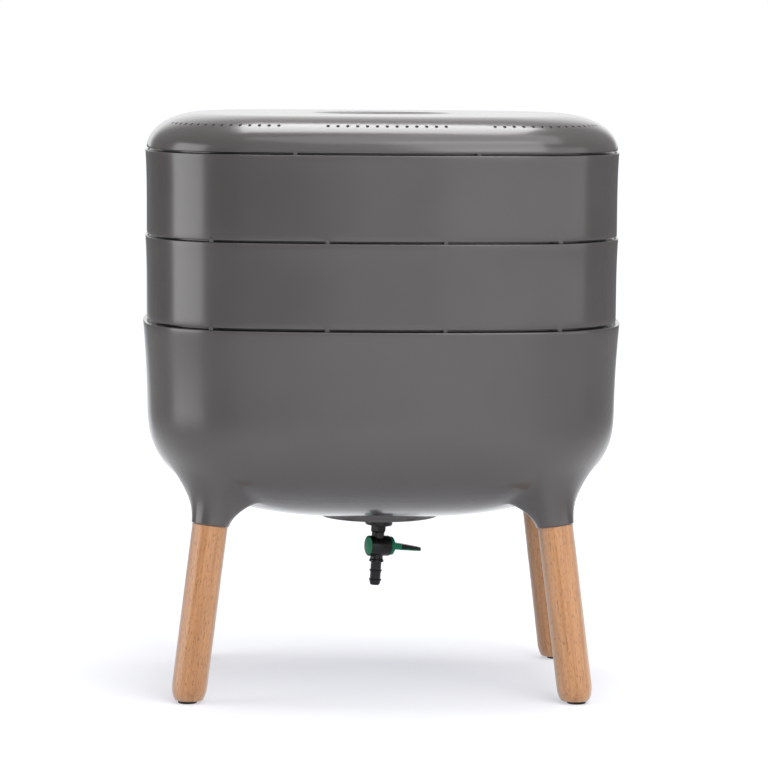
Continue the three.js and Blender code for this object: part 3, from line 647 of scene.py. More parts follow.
def bowl_ring(sump, places, outset, shares, bottom):
    """Places of the bowl at one share of the outline, or one per place, and their outward normals"""
    angle = places[:, 3]
    outward = np.column_stack([np.cos(angle), np.sin(angle), np.zeros(len(places))])
    edge = ring_at(places, outset, 0.0)
    shares = np.broadcast_to(np.asarray(shares, float), (len(places),))
    drop = (1 - shares ** sump.plan_power).clip(0, 1) ** (1 / sump.drop_power)
    depth = sump.shoulder_height - bottom
    points = edge * shares[:, None]
    points[:, 2] = sump.shoulder_height - drop * depth
    level = sump.plan_power * shares ** (sump.plan_power - 1) / (edge * outward).sum(axis=1)
    normals = outward * level[:, None]
    normals[:, 2] = -sump.drop_power * drop ** (sump.drop_power - 1) / depth
    return points, normals / np.linalg.norm(normals, axis=1)[:, None]


def bowl_circle(sump, places, outset, radius, bottom):
    """A circle on the bowl with one point for each place"""
    edge = ring_at(places, outset, 0.0)
    return bowl_ring(sump, places, outset, radius / np.linalg.norm(edge, axis=1), bottom)[0]


def leg_frame(settings, sign_x, sign_y):
    """The frame in the middle of a socket's lip, +Z up along the leg"""
    sump, plan = settings.sump, settings.plan
    up = Vector((-sign_x * math.tan(sump.splay_across), -sign_y * math.tan(sump.splay_along), 1)).normalized()
    rotation = Vector((0, 0, 1)).rotation_difference(up).to_matrix().to_4x4()
    return Matrix.Translation((
        sign_x * (plan.half_width - sump.socket_inset_x),
        sign_y * (plan.half_depth - sump.socket_inset_y), sump.lip_height)) @ rotation


def add_socket(cage, sump, loop, normals, frame_of_leg, steps, lift, corners):
    """Adds a leg's socket below a loop in the bowl

    Its flare leaves the bowl along the skin and lands along the leg, and its corners give the rest.
    """
    turned, middle = np.array(frame_of_leg.to_3x3()), np.array(frame_of_leg.translation)
    up = turned[:, 2]
    base = middle + up * lift
    skin = np.array([cage.points[i] for i in loop])
    angle = np.arctan2(skin[:, 1] - base[1], skin[:, 0] - base[0])
    lip = circle(angle, corners[0][0], 0.0) @ turned.T + base
    way = lip - skin
    leave = way - normals * (way * normals).sum(axis=1)[:, None]
    leave /= np.linalg.norm(leave, axis=1)[:, None]
    span = np.linalg.norm(way, axis=1)[:, None]
    first, second = skin + leave * span * sump.bowl_handle, lip + up * span * sump.lip_handle
    rings = [(1 - t) ** 3 * skin + 3 * t * (1 - t) ** 2 * first + 3 * t * t * (1 - t) * second + t ** 3 * lip
             for t in np.linspace(0, 1, steps + 1)[1:]]
    rings += [circle(angle, *corner) @ turned.T + middle for corner in rounded(corners, 2)[1:]]
    cage.cap(cage.run(rings, loop), middle + up * corners[-1][1])


def vessel(cage, settings, outlined, wall, counts, lowest, outset, bottom, end_radius, socket):
    """Adds the bowl and its sockets below a wall ring, and returns its end circle's ring and points

    The counts are the rows of faces above, beside and below the sockets.
    """
    sump = settings.sump
    places, starts = outlined
    margin = sump.corner_columns // 6
    columns = sump.corner_columns - 2 * margin
    turns, stops = [], (0.0, sump.flare_top, sump.flare_foot, lowest)
    for start, end, steps in zip(stops, stops[1:], counts):
        turns += list(np.linspace(start, end, steps + 1)[1:])
    grid, normals = [wall], [bowl_ring(sump, places, outset, 1.0, bottom)[1]]
    for turn_down in turns:
        part = math.cos(turn_down) ** (2 / sump.plan_power)
        points, slopes = bowl_ring(sump, places, outset, part, bottom)
        grid.append(cage.ring(points))
        normals.append(slopes)
    top, foot = counts[0], counts[0] + counts[1]
    windows = {(start + margin + i) % len(places) for start in starts for i in range(columns)}
    for k, (upper, lower) in enumerate(zip(grid, grid[1:])):
        cage.band(upper, lower, windows if top <= k < foot else ())
    edge = [(i, top) for i in range(columns)] + [(columns, k) for k in range(top, foot)]
    edge += [(i, foot) for i in range(columns, 0, -1)] + [(0, k) for k in range(foot, top, -1)]
    for start, signs in zip(starts, LEG_SIGNS.values()):
        cells = [(k, (start + margin + i) % len(places)) for i, k in edge]
        loop, slopes = [grid[k][i] for k, i in cells], np.array([normals[k][i] for k, i in cells])
        add_socket(cage, sump, loop, slopes, leg_frame(settings, *signs), *socket)
    end = bowl_circle(sump, places, outset, end_radius, bottom)
    half_way = (np.array([cage.points[i] for i in grid[-1]]) + end) / 2
    return cage.run([half_way, end], grid[-1]), end


def make_sump(settings):
    """The sump as one closed skin, smoothed by subdivision"""
    sump, plan = settings.sump, settings.plan
    outlined = outline(plan, 12, sump.corner_columns, 8)
    places = outlined[0]
    cage = Cage()
    boss, seat = sump.belly_height - sump.boss_drop, sump.belly_height + sump.seat_rise
    inner_bottom, inner_inset = sump.belly_height + sump.wall, sump.wall_inset + sump.wall
    foot, inner_foot = (-sump.wall_inset, sump.shoulder_height), (-inner_inset, sump.shoulder_height)
    rim = (sump.rim_outset, sump.rim_height)
    land = (-plan.rim_wall, sump.rim_height - plan.spigot_depth - plan.spigot_play)

    profile = [(*land, 0), (-plan.rim_wall, sump.rim_height, 0.8 * MM), (*rim, 1.2 * MM),
               *flare(foot, rim, sump.flare_power, 7), (*foot, 0)]
    top = cage.ring(ring_at(places, *land))
    shoulder = cage.run([ring_at(places, *corner) for corner in rounded(profile, 2)[1:]], top)
    # The lip's rounded edge, and the pocket for the tenon
    socket = [
        (sump.lip_radius, 1.2 * MM, 0), (sump.lip_radius, 0, 1 * MM), (sump.pocket_radius, 0, 0.7 * MM),
        (sump.pocket_radius, sump.pocket_depth, 1.2 * MM), (2 * MM, sump.pocket_depth, 0),
    ]
    fillet = 3 * MM
    bowl, edge = vessel(cage, settings, outlined, shoulder, (3, 5, 4), math.radians(75), -sump.wall_inset,
                        sump.belly_height, sump.boss_radius + fillet, (7, 0.0, socket))
    side = edge * np.array((1, 1, 0)) * (sump.boss_radius / (sump.boss_radius + fillet))
    # The boss's side and rounded edge, as (height above its face, inset) in millimetres
    edge_steps = ((4.2, -0.8), (3, 0), (1, 0), (0.2, 0.3), (0, 1.2))
    rings = [side * (1 - inset * MM / sump.boss_radius) + np.array((0, 0, boss + lift * MM))
             for lift, inset in edge_steps]
    seat_foot = inner_bottom + 0.2 * MM
    drain = [
        (sump.boss_radius / 2, boss, 0), (sump.drain_radius, boss, 0.8 * MM),
        (sump.drain_radius, seat, 0.6 * MM), (sump.seat_radius, seat, 0.8 * MM),
        (sump.seat_radius, seat_foot, 0.3 * MM), (sump.seat_radius + 2 * MM, inner_bottom + 0.05 * MM, 0),
    ]
    ways = ring_at(places, 0.0, 0.0)
    turns = np.arctan2(ways[:, 1], ways[:, 0])
    drained = cage.run(rings + [circle(turns, *corner) for corner in rounded(drain, 2)], bowl)

    profile = [*flare(inner_foot, land, sump.flare_power, 4), (*inner_foot, 0)]
    shoulder = cage.run([ring_at(places, outset, height) for outset, height, _ in profile], top)
    # The tube round the tenon, which stands up in the sump
    start = sump.tube_radius + 0.6 * MM, 8 * MM
    socket = [(*start, 0), (sump.tube_radius, start[1], 0), (sump.tube_radius, 20 * MM, 0),
              (sump.tube_radius, sump.tube_top, 1 * MM), (6 * MM, sump.tube_top, 0)]
    outer_circle, inner_circle = 50 * MM, 28 * MM
    bowl, _ = vessel(cage, settings, outlined, shoulder, (2, 4, 4), math.radians(76), -inner_inset,
                     inner_bottom, outer_circle, (4, start[1], socket))
    last = cage.run([bowl_circle(sump, places, -inner_inset, inner_circle, inner_bottom)], bowl)
    cage.band(last, drained)

    piece = cage.piece("sump_shell", smooth_angle=180)
    modifier = piece.modifiers.new("Smooth", "SUBSURF")
    modifier.levels = modifier.render_levels = 1
    return settled(piece)


# Geometry Nodes trees for what repeats

def node_tree(name, lengths, counts=()):
    """A Geometry Nodes tree with a geometry input and named inputs for lengths and counts"""
    tree = bpy.data.node_groups.new(name, "GeometryNodeTree")
    rows = [("Geometry", "INPUT", "Geometry"), ("Geometry", "OUTPUT", "Geometry")]
    rows += [(label, "INPUT", "Float") for label in lengths] + [(label, "INPUT", "Int") for label in counts]
    for label, way, kind in rows:
        tree.interface.new_socket(label, in_out=way, socket_type=f"NodeSocket{kind}")
    return tree, add(tree, "NodeGroupInput").outputs


def finish_tree(tree, geometry, material):
    """Ends a tree in Realize Instances and Set Material"""
    real = add(tree, "GeometryNodeRealizeInstances", {"Geometry": geometry})
    painted = add(tree, "GeometryNodeSetMaterial", {"Geometry": real, "Material": material})
    add(tree, "NodeGroupOutput", {"Geometry": painted})
    return tree


def run_tree(piece, tree, **values):
    """Runs a tree on a piece with the given inputs and keeps the plain mesh"""
    modifier = piece.modifiers.new(tree.name, "NODES")
    modifier.node_group = tree
    for socket in tree.interface.items_tree:
        if socket.in_out == "INPUT" and socket.name in values:
            modifier[socket.identifier] = values[socket.name]
    return settled(piece)


def drills(tree, given, points, sides):
    """Round upright drills on points, with the given radius and depth"""
    drill = add(tree, "GeometryNodeMeshCylinder", {
        "Vertices": sides, "Radius": given["Radius"], "Depth": given["Depth"]})
    return add(tree, "GeometryNodeInstanceOnPoints", {"Points": points, "Instance": drill})


def drain_hole_tree(material):
    """Cuts a grid of round holes through a floor"""
    tree, given = node_tree("Drain holes", ("Radius", "Pitch", "Depth", "Height"), ("Columns", "Rows"))
    across, along = (calculate(tree, "MULTIPLY", calculate(tree, "SUBTRACT", given[label], 1.0), given["Pitch"])
                     for label in ("Columns", "Rows"))
    grid = add(tree, "GeometryNodeMeshGrid", {
        "Size X": across, "Size Y": along, "Vertices X": given["Columns"], "Vertices Y": given["Rows"]})
    up = add(tree, "ShaderNodeCombineXYZ", {"Z": given["Height"]})
    lifted = add(tree, "GeometryNodeSetPosition", {"Geometry": grid, "Offset": up})
    solid = add(tree, "GeometryNodeRealizeInstances", {"Geometry": drills(tree, given, lifted, 16)})
    cut = add(tree, "GeometryNodeMeshBoolean", {"Mesh 1": given["Geometry"], "Mesh 2": solid},
              operation="DIFFERENCE", solver="MANIFOLD")
    return finish_tree(tree, cut, material)


def lug_tree(material):
    """A block at each point, for the spacer lugs"""
    tree, given = node_tree("Spacer lugs", ("Width", "Reach", "Height"))
    size = add(tree, "ShaderNodeCombineXYZ", {"X": given["Width"], "Y": given["Reach"], "Z": given["Height"]})
    block = add(tree, "GeometryNodeMeshCube", {"Size": size})
    blocks = add(tree, "GeometryNodeInstanceOnPoints", {"Points": given["Geometry"], "Instance": block})
    return finish_tree(tree, blocks, material)


def vent_tree(material):
    """An upright drill at even steps along each line, for the vents"""
    tree, given = node_tree("Vent drills", ("Radius", "Depth"), ("Vents",))
    line = add(tree, "GeometryNodeMeshToCurve", {"Mesh": given["Geometry"]})
    spaced = add(tree, "GeometryNodeCurveToPoints", {"Curve": line, "Count": given["Vents"]}, mode="COUNT")
    return finish_tree(tree, drills(tree, given, spaced, 12), material)


# Trays

def front_depth(plan, x, outset):
    """Distance from the middle to the front of the outline at one place across"""
    corner = corner_middle(plan)
    front_angle = math.atan2(corner.x, corner.y - plan.half_depth + plan.front_radius)
    radius = plan.front_radius + outset
    if x < math.sin(front_angle) * radius:
        return math.sqrt(radius ** 2 - x ** 2) + plan.half_depth - plan.front_radius
    return math.sqrt((plan.corner_radius + outset) ** 2 - (x - corner.x) ** 2) + corner.y


def make_lugs(settings, xs, outset, low, high, material):
    """Spacer lugs at places across, on the front and the back"""
    plan, tray = settings.plan, settings.tray
    points = []
    for x in xs:
        y = front_depth(plan, x, outset) - tray.lug_reach / 2
        points += [(sx * x, sy * y, (low + high) / 2) for sx in (1, -1) for sy in (1, -1)]
    mesh = bpy.data.meshes.new("lugs")
    mesh.from_pydata(points, [], [])
    return run_tree(show("lugs", mesh), lug_tree(material),
                    Width=tray.lug_width, Reach=tray.lug_reach, Height=high - low)


def make_tray(settings, name, level, material):
    """A tray: its spigot, floor, wall and rim as one closed skin with drain holes and lugs"""
    plan, tray = settings.plan, settings.tray
    places, _ = outline(plan, 24, 24, 16)
    ground = settings.sump.rim_height + level * tray.pitch
    spigot = -plan.rim_wall - plan.spigot_play
    neck = spigot - tray.neck
    inside = neck - plan.spigot_wall
    foot = -plan.spigot_depth
    floor_top = foot + tray.floor
    land = (-plan.rim_wall, tray.pitch - plan.spigot_depth - plan.spigot_play)
    outer_foot = (-tray.wall_inset, tray.vent_gap)
    inner_foot = (-tray.wall_inset - tray.wall, tray.vent_gap + 2 * tray.wall)
    rim = (0.0, tray.pitch)
    profile = [
        (spigot - 6 * MM, foot, 0), (spigot, foot, 1.2 * MM), (spigot, -1 * MM, 0.4 * MM),
        (neck, 0.2 * MM, 0.3 * MM), (neck, tray.vent_gap, 0.3 * MM), (*outer_foot, 0.8 * MM),
        *flare(outer_foot, rim, tray.flare_power, 12)[::-1],
        (*rim, 0.9 * MM), (-plan.rim_wall, tray.pitch, 0.8 * MM), (*land, 0.6 * MM),
        *flare(inner_foot, land, tray.flare_power, 6),
        (*inner_foot, 2 * MM), (inside, tray.vent_gap + tray.wall, 1.5 * MM),
        (inside, floor_top, 1.5 * MM), (inside - 8 * MM, floor_top, 0),
    ]
    line = rounded(profile)
    shares = (0.12, 0.3, 0.5, 0.7, 0.88)
    rings = [ring_at(places, line[0][0], ground + foot, part) for part in shares]
    rings += [ring_at(places, outset, ground + height) for outset, height in line]
    rings += [ring_at(places, line[-1][0], ground + floor_top, part) for part in shares[::-1]]
    cage = Cage()
    cage.closed(rings, (0, 0, ground + foot), (0, 0, ground + floor_top))
    piece = run_tree(cage.piece(name), drain_hole_tree(material), Radius=tray.hole_radius,
                     Pitch=tray.hole_pitch, Columns=tray.hole_columns, Rows=tray.hole_rows,
                     Depth=4 * tray.floor, Height=ground + foot + tray.floor / 2)
    lugs = make_lugs(settings, (tray.inner_lug, tray.outer_lug), -tray.wall_inset + tray.lug_reach / 4,
                     ground + GAP, ground + tray.vent_gap + tray.wall / 2, material)
    return shaded(combine(piece, "UNION", lugs))


# Lid

def shoulder_rings(plan, lid, places, outset, rise, turns):
    """Rings of the lid's shoulder from its edge up to its top"""
    rings = []
    for turn_up in turns:
        drawn = 1 - max(0.0, math.cos(turn_up)) ** (2 / lid.power)
        shares = (1 - drawn * lid.run_x / (plan.half_width + outset),
                  1 - drawn * lid.run_y / (plan.half_depth + outset))
        rings.append(ring_at(places, outset, rise * math.sin(turn_up) ** (2 / lid.power), *shares))
    return rings


def dish_ring(places, half_x, half_y, height):
    """An ellipse with one point for each place"""
    edge = ring_at(places, 0.0, 0.0)
    return circle(np.arctan2(edge[:, 1] / half_y, edge[:, 0] / half_x), half_x, height, half_y)


def grip_stations(lid, wall, foot):
    """Stations of the grip, drawn in by a wall, down to its foot or straight down to a given one"""
    half = lid.grip_length - wall
    corner = lid.grip_share
    stations = []
    for t in np.linspace(0, 1, 13):
        x = (1 - t) ** 3 * half + 3 * t * (1 - t) ** 2 * half + 3 * t * t * (1 - t) * half * corner
        rise = 3 * t * (1 - t) ** 2 * corner + 3 * t * t * (1 - t) + t ** 3
        slope = min(1.0, (half - x) / (half * (1 - corner)))
        low = foot * slope if wall == 0 else foot
        stations.append((x, lid.grip_width / 2 - wall, low - GAP - wall, lid.grip_rise * rise - wall))
    return [(-x, *rest) for x, *rest in stations[:-1]] + stations[::-1]


def vent_lines(plan, lid, places, height):
    """Lines of vents on the front and the back, as lists of points: the middle rows and the side rows"""
    turn_up = math.acos((1 - lid.vent_inset / lid.run_y) ** (lid.power / 2))
    ring = shoulder_rings(plan, lid, places, -lid.inset, 0.0, [turn_up])[0] + np.array((0, 0, height))
    lowest = int(ring[:, 1].argmin())
    middle_half = (lid.middle_vents - 1) / 2 * lid.vent_pitch
    side_start = middle_half + lid.vent_gap
    side_end = side_start + (lid.side_vents - 1) * lid.vent_pitch

    def walk(way, start, end):
        line = ring[[(lowest + way * i) % len(ring) for i in range(len(ring) // 2)]]
        gone = np.concatenate([[0], np.cumsum(np.linalg.norm(np.diff(line, axis=0), axis=1))])
        stops = [start] + [g for g in gone if start < g < end] + [end]
        return np.column_stack([np.interp(stops, gone, line[:, axis]) for axis in range(3)])

    right, left = walk(1, 0, middle_half), walk(-1, 0, middle_half)
    middle = [np.vstack([left[::-1], right[1:]])]
    sides = [walk(way, side_start, side_end) for way in (1, -1)]
    back = np.array((1, -1, 1))
    return middle + [line * back for line in middle], sides + [line * back for line in sides]


def make_vents(settings, low, high, material):
    """The drills of all vents, one object for the middle rows and one for the side rows"""
    plan, lid = settings.plan, settings.lid
    fine_places, _ = outline(plan, 96, 48, 48)
    tree = vent_tree(material)
    made = []
    rows = vent_lines(plan, lid, fine_places, (low + high) / 2)
    for name, lines, count in zip(("middle", "side"), rows, (lid.middle_vents, lid.side_vents)):
        points, edges = [], []
        for line in lines:
            first = len(points)
            points.extend(map(tuple, line))
            edges.extend((i, i + 1) for i in range(first, len(points) - 1))
        mesh = bpy.data.meshes.new(name)
        mesh.from_pydata(points, edges, [])
        drilled = show(f"{name}_vents", mesh)
        made.append(run_tree(drilled, tree, Radius=lid.vent_radius, Depth=high - low, Vents=count))
    return made


def make_lid(settings, material):
    """The lid: skirt, shoulder, top and finger dish as one closed skin with its grip and vents"""
    plan, lid, tray = settings.plan, settings.lid, settings.tray
    places, _ = outline(plan, 24, 24, 16)
    ground = LID_LOW.z + lid.skirt_depth
    outer, inner = -lid.inset, -lid.inset - lid.wall
    skirt = -plan.rim_wall - plan.spigot_play
    neck = skirt - tray.neck
    skirt_inside = neck - plan.spigot_wall
    under = lid.rise - lid.wall
    start = math.asin((lid.skirt_root / under) ** (lid.power / 2))
    edge = rounded([
        (outer, 2 * MM, 0), (outer, 0, 0.7 * MM), (neck, 0, 0.3 * MM),
        (neck, 0.2 * MM - tray.vent_gap, 0.3 * MM),
        (skirt, -tray.vent_gap - 1 * MM, 0.4 * MM), (skirt, -lid.skirt_depth, 0.8 * MM),
        (skirt_inside, -lid.skirt_depth, 0.8 * MM), (skirt_inside, lid.skirt_root, 0.4 * MM),
        (inner - 0.6 * MM, lid.skirt_root, 0),
    ])
    quarter = math.pi / 2
    outside = shoulder_rings(plan, lid, places, outer, lid.rise, np.linspace(math.radians(7), quarter, 17))
    inside = shoulder_rings(plan, lid, places, inner, under, np.linspace(start, quarter, 8))

    def dish(grow, depth, first_turn, steps):
        """Rings of the dish, grown by a wall, from near its rim to near its middle"""
        rings = []
        for turn_in in np.linspace(math.radians(first_turn), math.radians(84), steps):
            part = math.cos(turn_in)
            rings.append(dish_ring(places, (lid.dish_length + grow) * part, (lid.dish_width + grow) * part,
                                   lid.rise - depth * math.sin(turn_in)))
        return rings

    def widened(grow, height):
        """A ring round the dish"""
        return dish_ring(places, lid.dish_length + grow, lid.dish_width + grow, height)

    top = [(1 - t) * outside[-1] + t * widened(2 * MM, lid.rise) for t in (0.25, 0.5, 0.75, 1.0)]
    # The dish's rounded rim, as (outset, drop) in millimetres
    rim_steps = ((1.2, 0.15), (0.5, 0.5), (0.1, 1.2))
    top += [widened(grow * MM, lid.rise - drop * MM) for grow, drop in rim_steps]
    top += dish(0.0, lid.dish_depth, 6, 12)
    depth = lid.dish_depth + lid.wall
    ceiling = widened(lid.wall + 1.5 * MM, under)
    bottom = [(1 - t) * inside[-1] + t * ceiling for t in (0.33, 0.66, 1.0)] + dish(lid.wall, depth, 12, 8)
    rings = top[::-1] + outside[::-1] + [ring_at(places, *corner) for corner in edge] + inside + bottom
    cage = Cage()
    cage.closed([ring + np.array((0, 0, ground)) for ring in rings],
                (0, 0, ground + lid.rise - lid.dish_depth), (0, 0, ground + lid.rise - depth))
    piece = cage.piece("lid_shell")
    up = Matrix.Translation((0, 0, ground + lid.rise))
    foot = -lid.dish_depth - lid.wall / 2
    section_power = 2.6
    grip = bar("grip", grip_stations(lid, 0.0, foot), section_power, 64, up)
    hollow = bar("grip_hollow", grip_stations(lid, lid.wall, foot - 10 * MM), section_power, 48, up)
    combine(piece, "UNION", grip)
    combine(piece, "DIFFERENCE", hollow)
    vents = make_vents(settings, ground + lid.skirt_root, ground + lid.rise + OVERRUN, material)
    combine(piece, "DIFFERENCE", *vents)
    lugs = make_lugs(settings, (lid.lug,), -lid.inset, ground + GAP - tray.vent_gap,
                     ground + lid.wall / 2, material)
    return shaded(combine(piece, "UNION", lugs), 30)


# Legs and glides

def make_leg(settings, name, frame_of_leg):
    """A turned leg with its tenon, rounded at the foot and cut level above its glide"""
    leg, sump = settings.leg, settings.sump
    drop = sump.lip_height / (frame_of_leg.to_3x3() @ Vector((0, 0, 1))).z
    profile = [(0, -drop, 0)]
    for turn_up in np.linspace(0, math.pi / 2, 14):
        profile.append((leg.end_radius + (leg.radius - leg.end_radius) * math.sin(turn_up),
                        -drop + leg.round_length * (1 - math.cos(turn_up)), 0))
    profile += [(leg.radius, -GAP, 0.6 * MM), (leg.tenon_radius, -GAP, 0.3 * MM),
                (leg.tenon_radius, leg.tenon_length, 1 * MM), (0, leg.tenon_length, 0)]
    piece = lathe(name, profile, 64, frame_of_leg)
    bm = bmesh.new()
    bm.from_mesh(piece.data)
    cut = bmesh.ops.bisect_plane(
        bm, geom=bm.verts[:] + bm.edges[:] + bm.faces[:], plane_co=(0, 0, leg.glide_thickness + GAP),
        plane_no=(0, 0, -1), clear_outer=True)
    bmesh.ops.holes_fill(bm, edges=[e for e in cut["geom_cut"] if isinstance(e, bmesh.types.BMEdge)])
    bmesh.ops.recalc_face_normals(bm, faces=bm.faces)
    bm.to_mesh(piece.data)
    bm.free()
    foot = frame_of_leg @ Vector((0, 0, -drop))
    hole = rod("nail_hole", leg.nail_radius + GAP, 0, leg.nail_length + OVERRUN, 16, Matrix.Translation(foot))
    return shaded(combine(piece, "DIFFERENCE", hole)), foot


def make_glide(settings, name, foot):
    """A moulded glide with a rounded edge and the nail that holds it"""
    leg = settings.leg
    top = leg.glide_thickness
    return lathe(name, [
        (0, 0, 0), (leg.glide_radius, 0, 1.2 * MM), (leg.glide_radius, top, 0.5 * MM),
        (leg.nail_radius, top, 0),
        (leg.nail_radius, top + leg.nail_length - leg.nail_radius, 0), (0, top + leg.nail_length, 0),
    ], 48, Matrix.Translation((foot.x, foot.y, 0)))


# Tap

def turned(angle, axis):
    """A turn about one axis"""
    return Matrix.Rotation(angle, 4, axis)


# Lays a body that was turned round Z along X, and turns a square onto its side
ALONG_X = turned(math.pi / 2, "Y")
ON_SIDE = turned(math.pi / 4, "Z")


def tap_frames(settings):
    """The tap's frame on the boss face, and the plug's frame with X along its axis"""
    tap, sump = settings.tap, settings.sump
    hung = Matrix.Translation((0, 0, sump.belly_height - sump.boss_drop)) @ turned(tap.lean, "Y")
    return hung, hung @ turned(tap.turn, "Z") @ Matrix.Translation((0, 0, -tap.housing_drop))


def make_tap_body(settings):
    """The tap's body: threaded tail, flange, hexagonal neck, housing and barbed hose tail"""
    tap = settings.tap
    hung, plug = tap_frames(settings)
    neck_top = -tap.flange_top - tap.flange_thickness
    tail = -tap.housing_drop - tap.housing_radius
    end = tail - tap.hose_length
    profile = [(0, end, 0), (tap.hose_radius - 1 * MM, end, 0), (tap.hose_radius, end + 2 * MM, 0.5 * MM)]
    for n in (1, 0):
        crest = tail - tap.barb_first - n * tap.barb_pitch
        profile += [(tap.hose_radius, crest - 3 * MM, 0), (tap.barb_radius, crest - 0.3 * MM, 0.3 * MM),
                    (tap.hose_radius, crest + 0.3 * MM, 0)]
    collar, bevel = tail - tap.collar_length, 1.2 * MM
    profile += [
        (tap.hose_radius, collar, 0.2 * MM), (tap.collar_radius, collar, 0.6 * MM),
        (tap.collar_radius - 0.3 * MM, collar + 2.2 * MM, 0.4 * MM),
        (tap.throat_radius, collar + 3.2 * MM, 0.4 * MM), (tap.throat_radius, neck_top, 0),
        (tap.flange_radius - bevel, neck_top, 0.5 * MM), (tap.flange_radius, neck_top + bevel, 0.5 * MM),
        (tap.flange_radius, -tap.flange_top, 0.5 * MM), (tap.tail_radius, -tap.flange_top, 0),
    ]
    thread = tap.thread_pitch - tap.flange_top
    while thread < tap.tail_top - 2.5 * MM:
        profile += [(tap.tail_radius - depth * MM, thread + up * MM, 0)
                    for depth, up in ((0, 0), (0.7, 0.6), (0.7, 0.9), (0, 1.5))]
        thread += tap.thread_pitch
    profile += [(tap.tail_radius, tap.tail_top, 0.8 * MM), (0, tap.tail_top, 0)]
    piece = lathe("tap_casing", profile, 56, hung, 2)
    # From the width across the flats to the radius of the hexagon's corners
    corner = tap.neck_across / 2 / math.cos(math.pi / 6)
    low = neck_top - tap.neck_length
    neck = lathe("neck", [
        (0, neck_top + GAP, 0), (corner, neck_top + GAP, 0), (corner, low + 2 * MM, 0),
        (corner - 1.6 * MM, low, 0), (0, low, 0),
    ], 6, hung @ turned(tap.neck_turn, "Z"))
    left, right = -tap.housing_left, tap.housing_right
    lying = plug @ ALONG_X
    housing = rod("housing", tap.housing_radius, left, right, 72, lying, 0.9 * MM)
    plug_way = rod("plug_way", tap.plug_radius + tap.plug_gap, left - OVERRUN, right + OVERRUN, 56, lying)
    disc_way = rod("disc_way", tap.disc_radius + tap.plug_gap, left - OVERRUN,
                   left + tap.disc_thickness + tap.plug_gap, 72, lying)
    bore = rod("bore", tap.bore_radius, end - OVERRUN, tap.tail_top + OVERRUN, 32, hung)
    combine(piece, "UNION", neck, housing)
    combine(piece, "DIFFERENCE", plug_way, disc_way, bore)
    return shaded(piece, 28)


def square(tap, name, play, start, plug):
    """The square that drives the plug, or with play its socket in the lever"""
    half = tap.drive_side / 2 * math.sqrt(2) + play
    return rod(name, half, start - OVERRUN, start + tap.drive_length, 4, plug @ ALONG_X @ ON_SIDE)


def make_plug(settings):
    """The green plug: disc, seal grooves and the square that the lever turns"""
    tap = settings.tap
    _, plug = tap_frames(settings)
    left, right = -tap.housing_left, tap.housing_right
    under_disc = left + tap.disc_thickness
    profile = [(0, left, 0), (tap.disc_radius, left, 0.5 * MM), (tap.disc_radius, under_disc, 0.2 * MM),
               (tap.plug_radius, under_disc, 0)]
    for place in (-tap.groove_place, tap.groove_place):
        start, end = place - tap.groove_width / 2, place + tap.groove_width / 2
        groove = tap.plug_radius - tap.groove_depth
        profile += [(tap.plug_radius, start, 0), (groove, start, 0),
                    (groove, end, 0), (tap.plug_radius, end, 0)]
    profile += [(tap.plug_radius, right, 0), (0, right, 0)]
    piece = lathe("plug", profile, 64, plug @ ALONG_X)
    reach = tap.plug_radius + OVERRUN
    bore = rod("plug_bore", tap.bore_radius, -reach, reach, 32, plug @ turned(math.pi / 2, "X"))
    combine(piece, "UNION", square(tap, "drive", 0.0, right, plug))
    return shaded(combine(piece, "DIFFERENCE", bore), 28)


def lever_stations(tap, start, end, steps, tip=False, low_lift=0.0, widen=0.0):
    """Stations of a blade that tapers along the lever, rounded at its tip if it has one"""
    root = tap.housing_right + tap.plug_gap + tap.lever_collar
    # The tip is never narrower than this share of the blade, and thins over its last stretch
    blunt, thinning, thinnest = 0.35, 1.2 * MM, 0.55
    stations = []
    for t in np.linspace(0, 1, steps) ** 0.8:
        x = start + (end - start) * t
        part = (x - root) / tap.lever_reach
        thick = tap.lever_root + (tap.lever_tip - tap.lever_root) * part
        half = tap.lever_width / 2 + widen
        left = max(0.0, end - x)
        if tip and left < half:
            half = max(blunt * half, math.sqrt(half ** 2 - (half - left) ** 2))
        pinch = thinnest + (1 - thinnest) * left / thinning if tip and left <= thinning else 1.0
        middle = -tap.lever_droop * max(0.0, part) ** 1.3
        stations.append((x, half, middle - thick / 2 * pinch + low_lift, middle + thick / 2 * pinch))
    return stations


def make_lever(settings):
    """The green lever: collar, block and the plate that carries the grip"""
    tap = settings.tap
    _, plug = tap_frames(settings)
    start = tap.housing_right + tap.plug_gap
    root = start + tap.lever_collar
    overlap, grip_over_tip, socket_play = 1 * MM, 3.2 * MM, 0.42 * MM
    piece = lathe("lever", [
        (0, start, 0), (tap.lever_radius, start, 0.5 * MM),
        (tap.lever_radius, root, 0.9 * MM), (0, root, 0),
    ], 64, plug @ ALONG_X)
    block = bar("block", lever_stations(tap, root - overlap, root + tap.lever_block, 8), 6, 40, plug)
    plate_end = root + tap.lever_reach - grip_over_tip
    plate = lever_stations(tap, root + tap.lever_block - overlap, plate_end, 14, True, widen=-0.2 * MM)
    plate = [(x, half, low, low + tap.lever_plate) for x, half, low, _ in plate]
    combine(piece, "UNION", block, bar("plate", plate, 8, 32, plug))
    return shaded(combine(piece, "DIFFERENCE", square(tap, "socket", socket_play, start, plug)), 30)


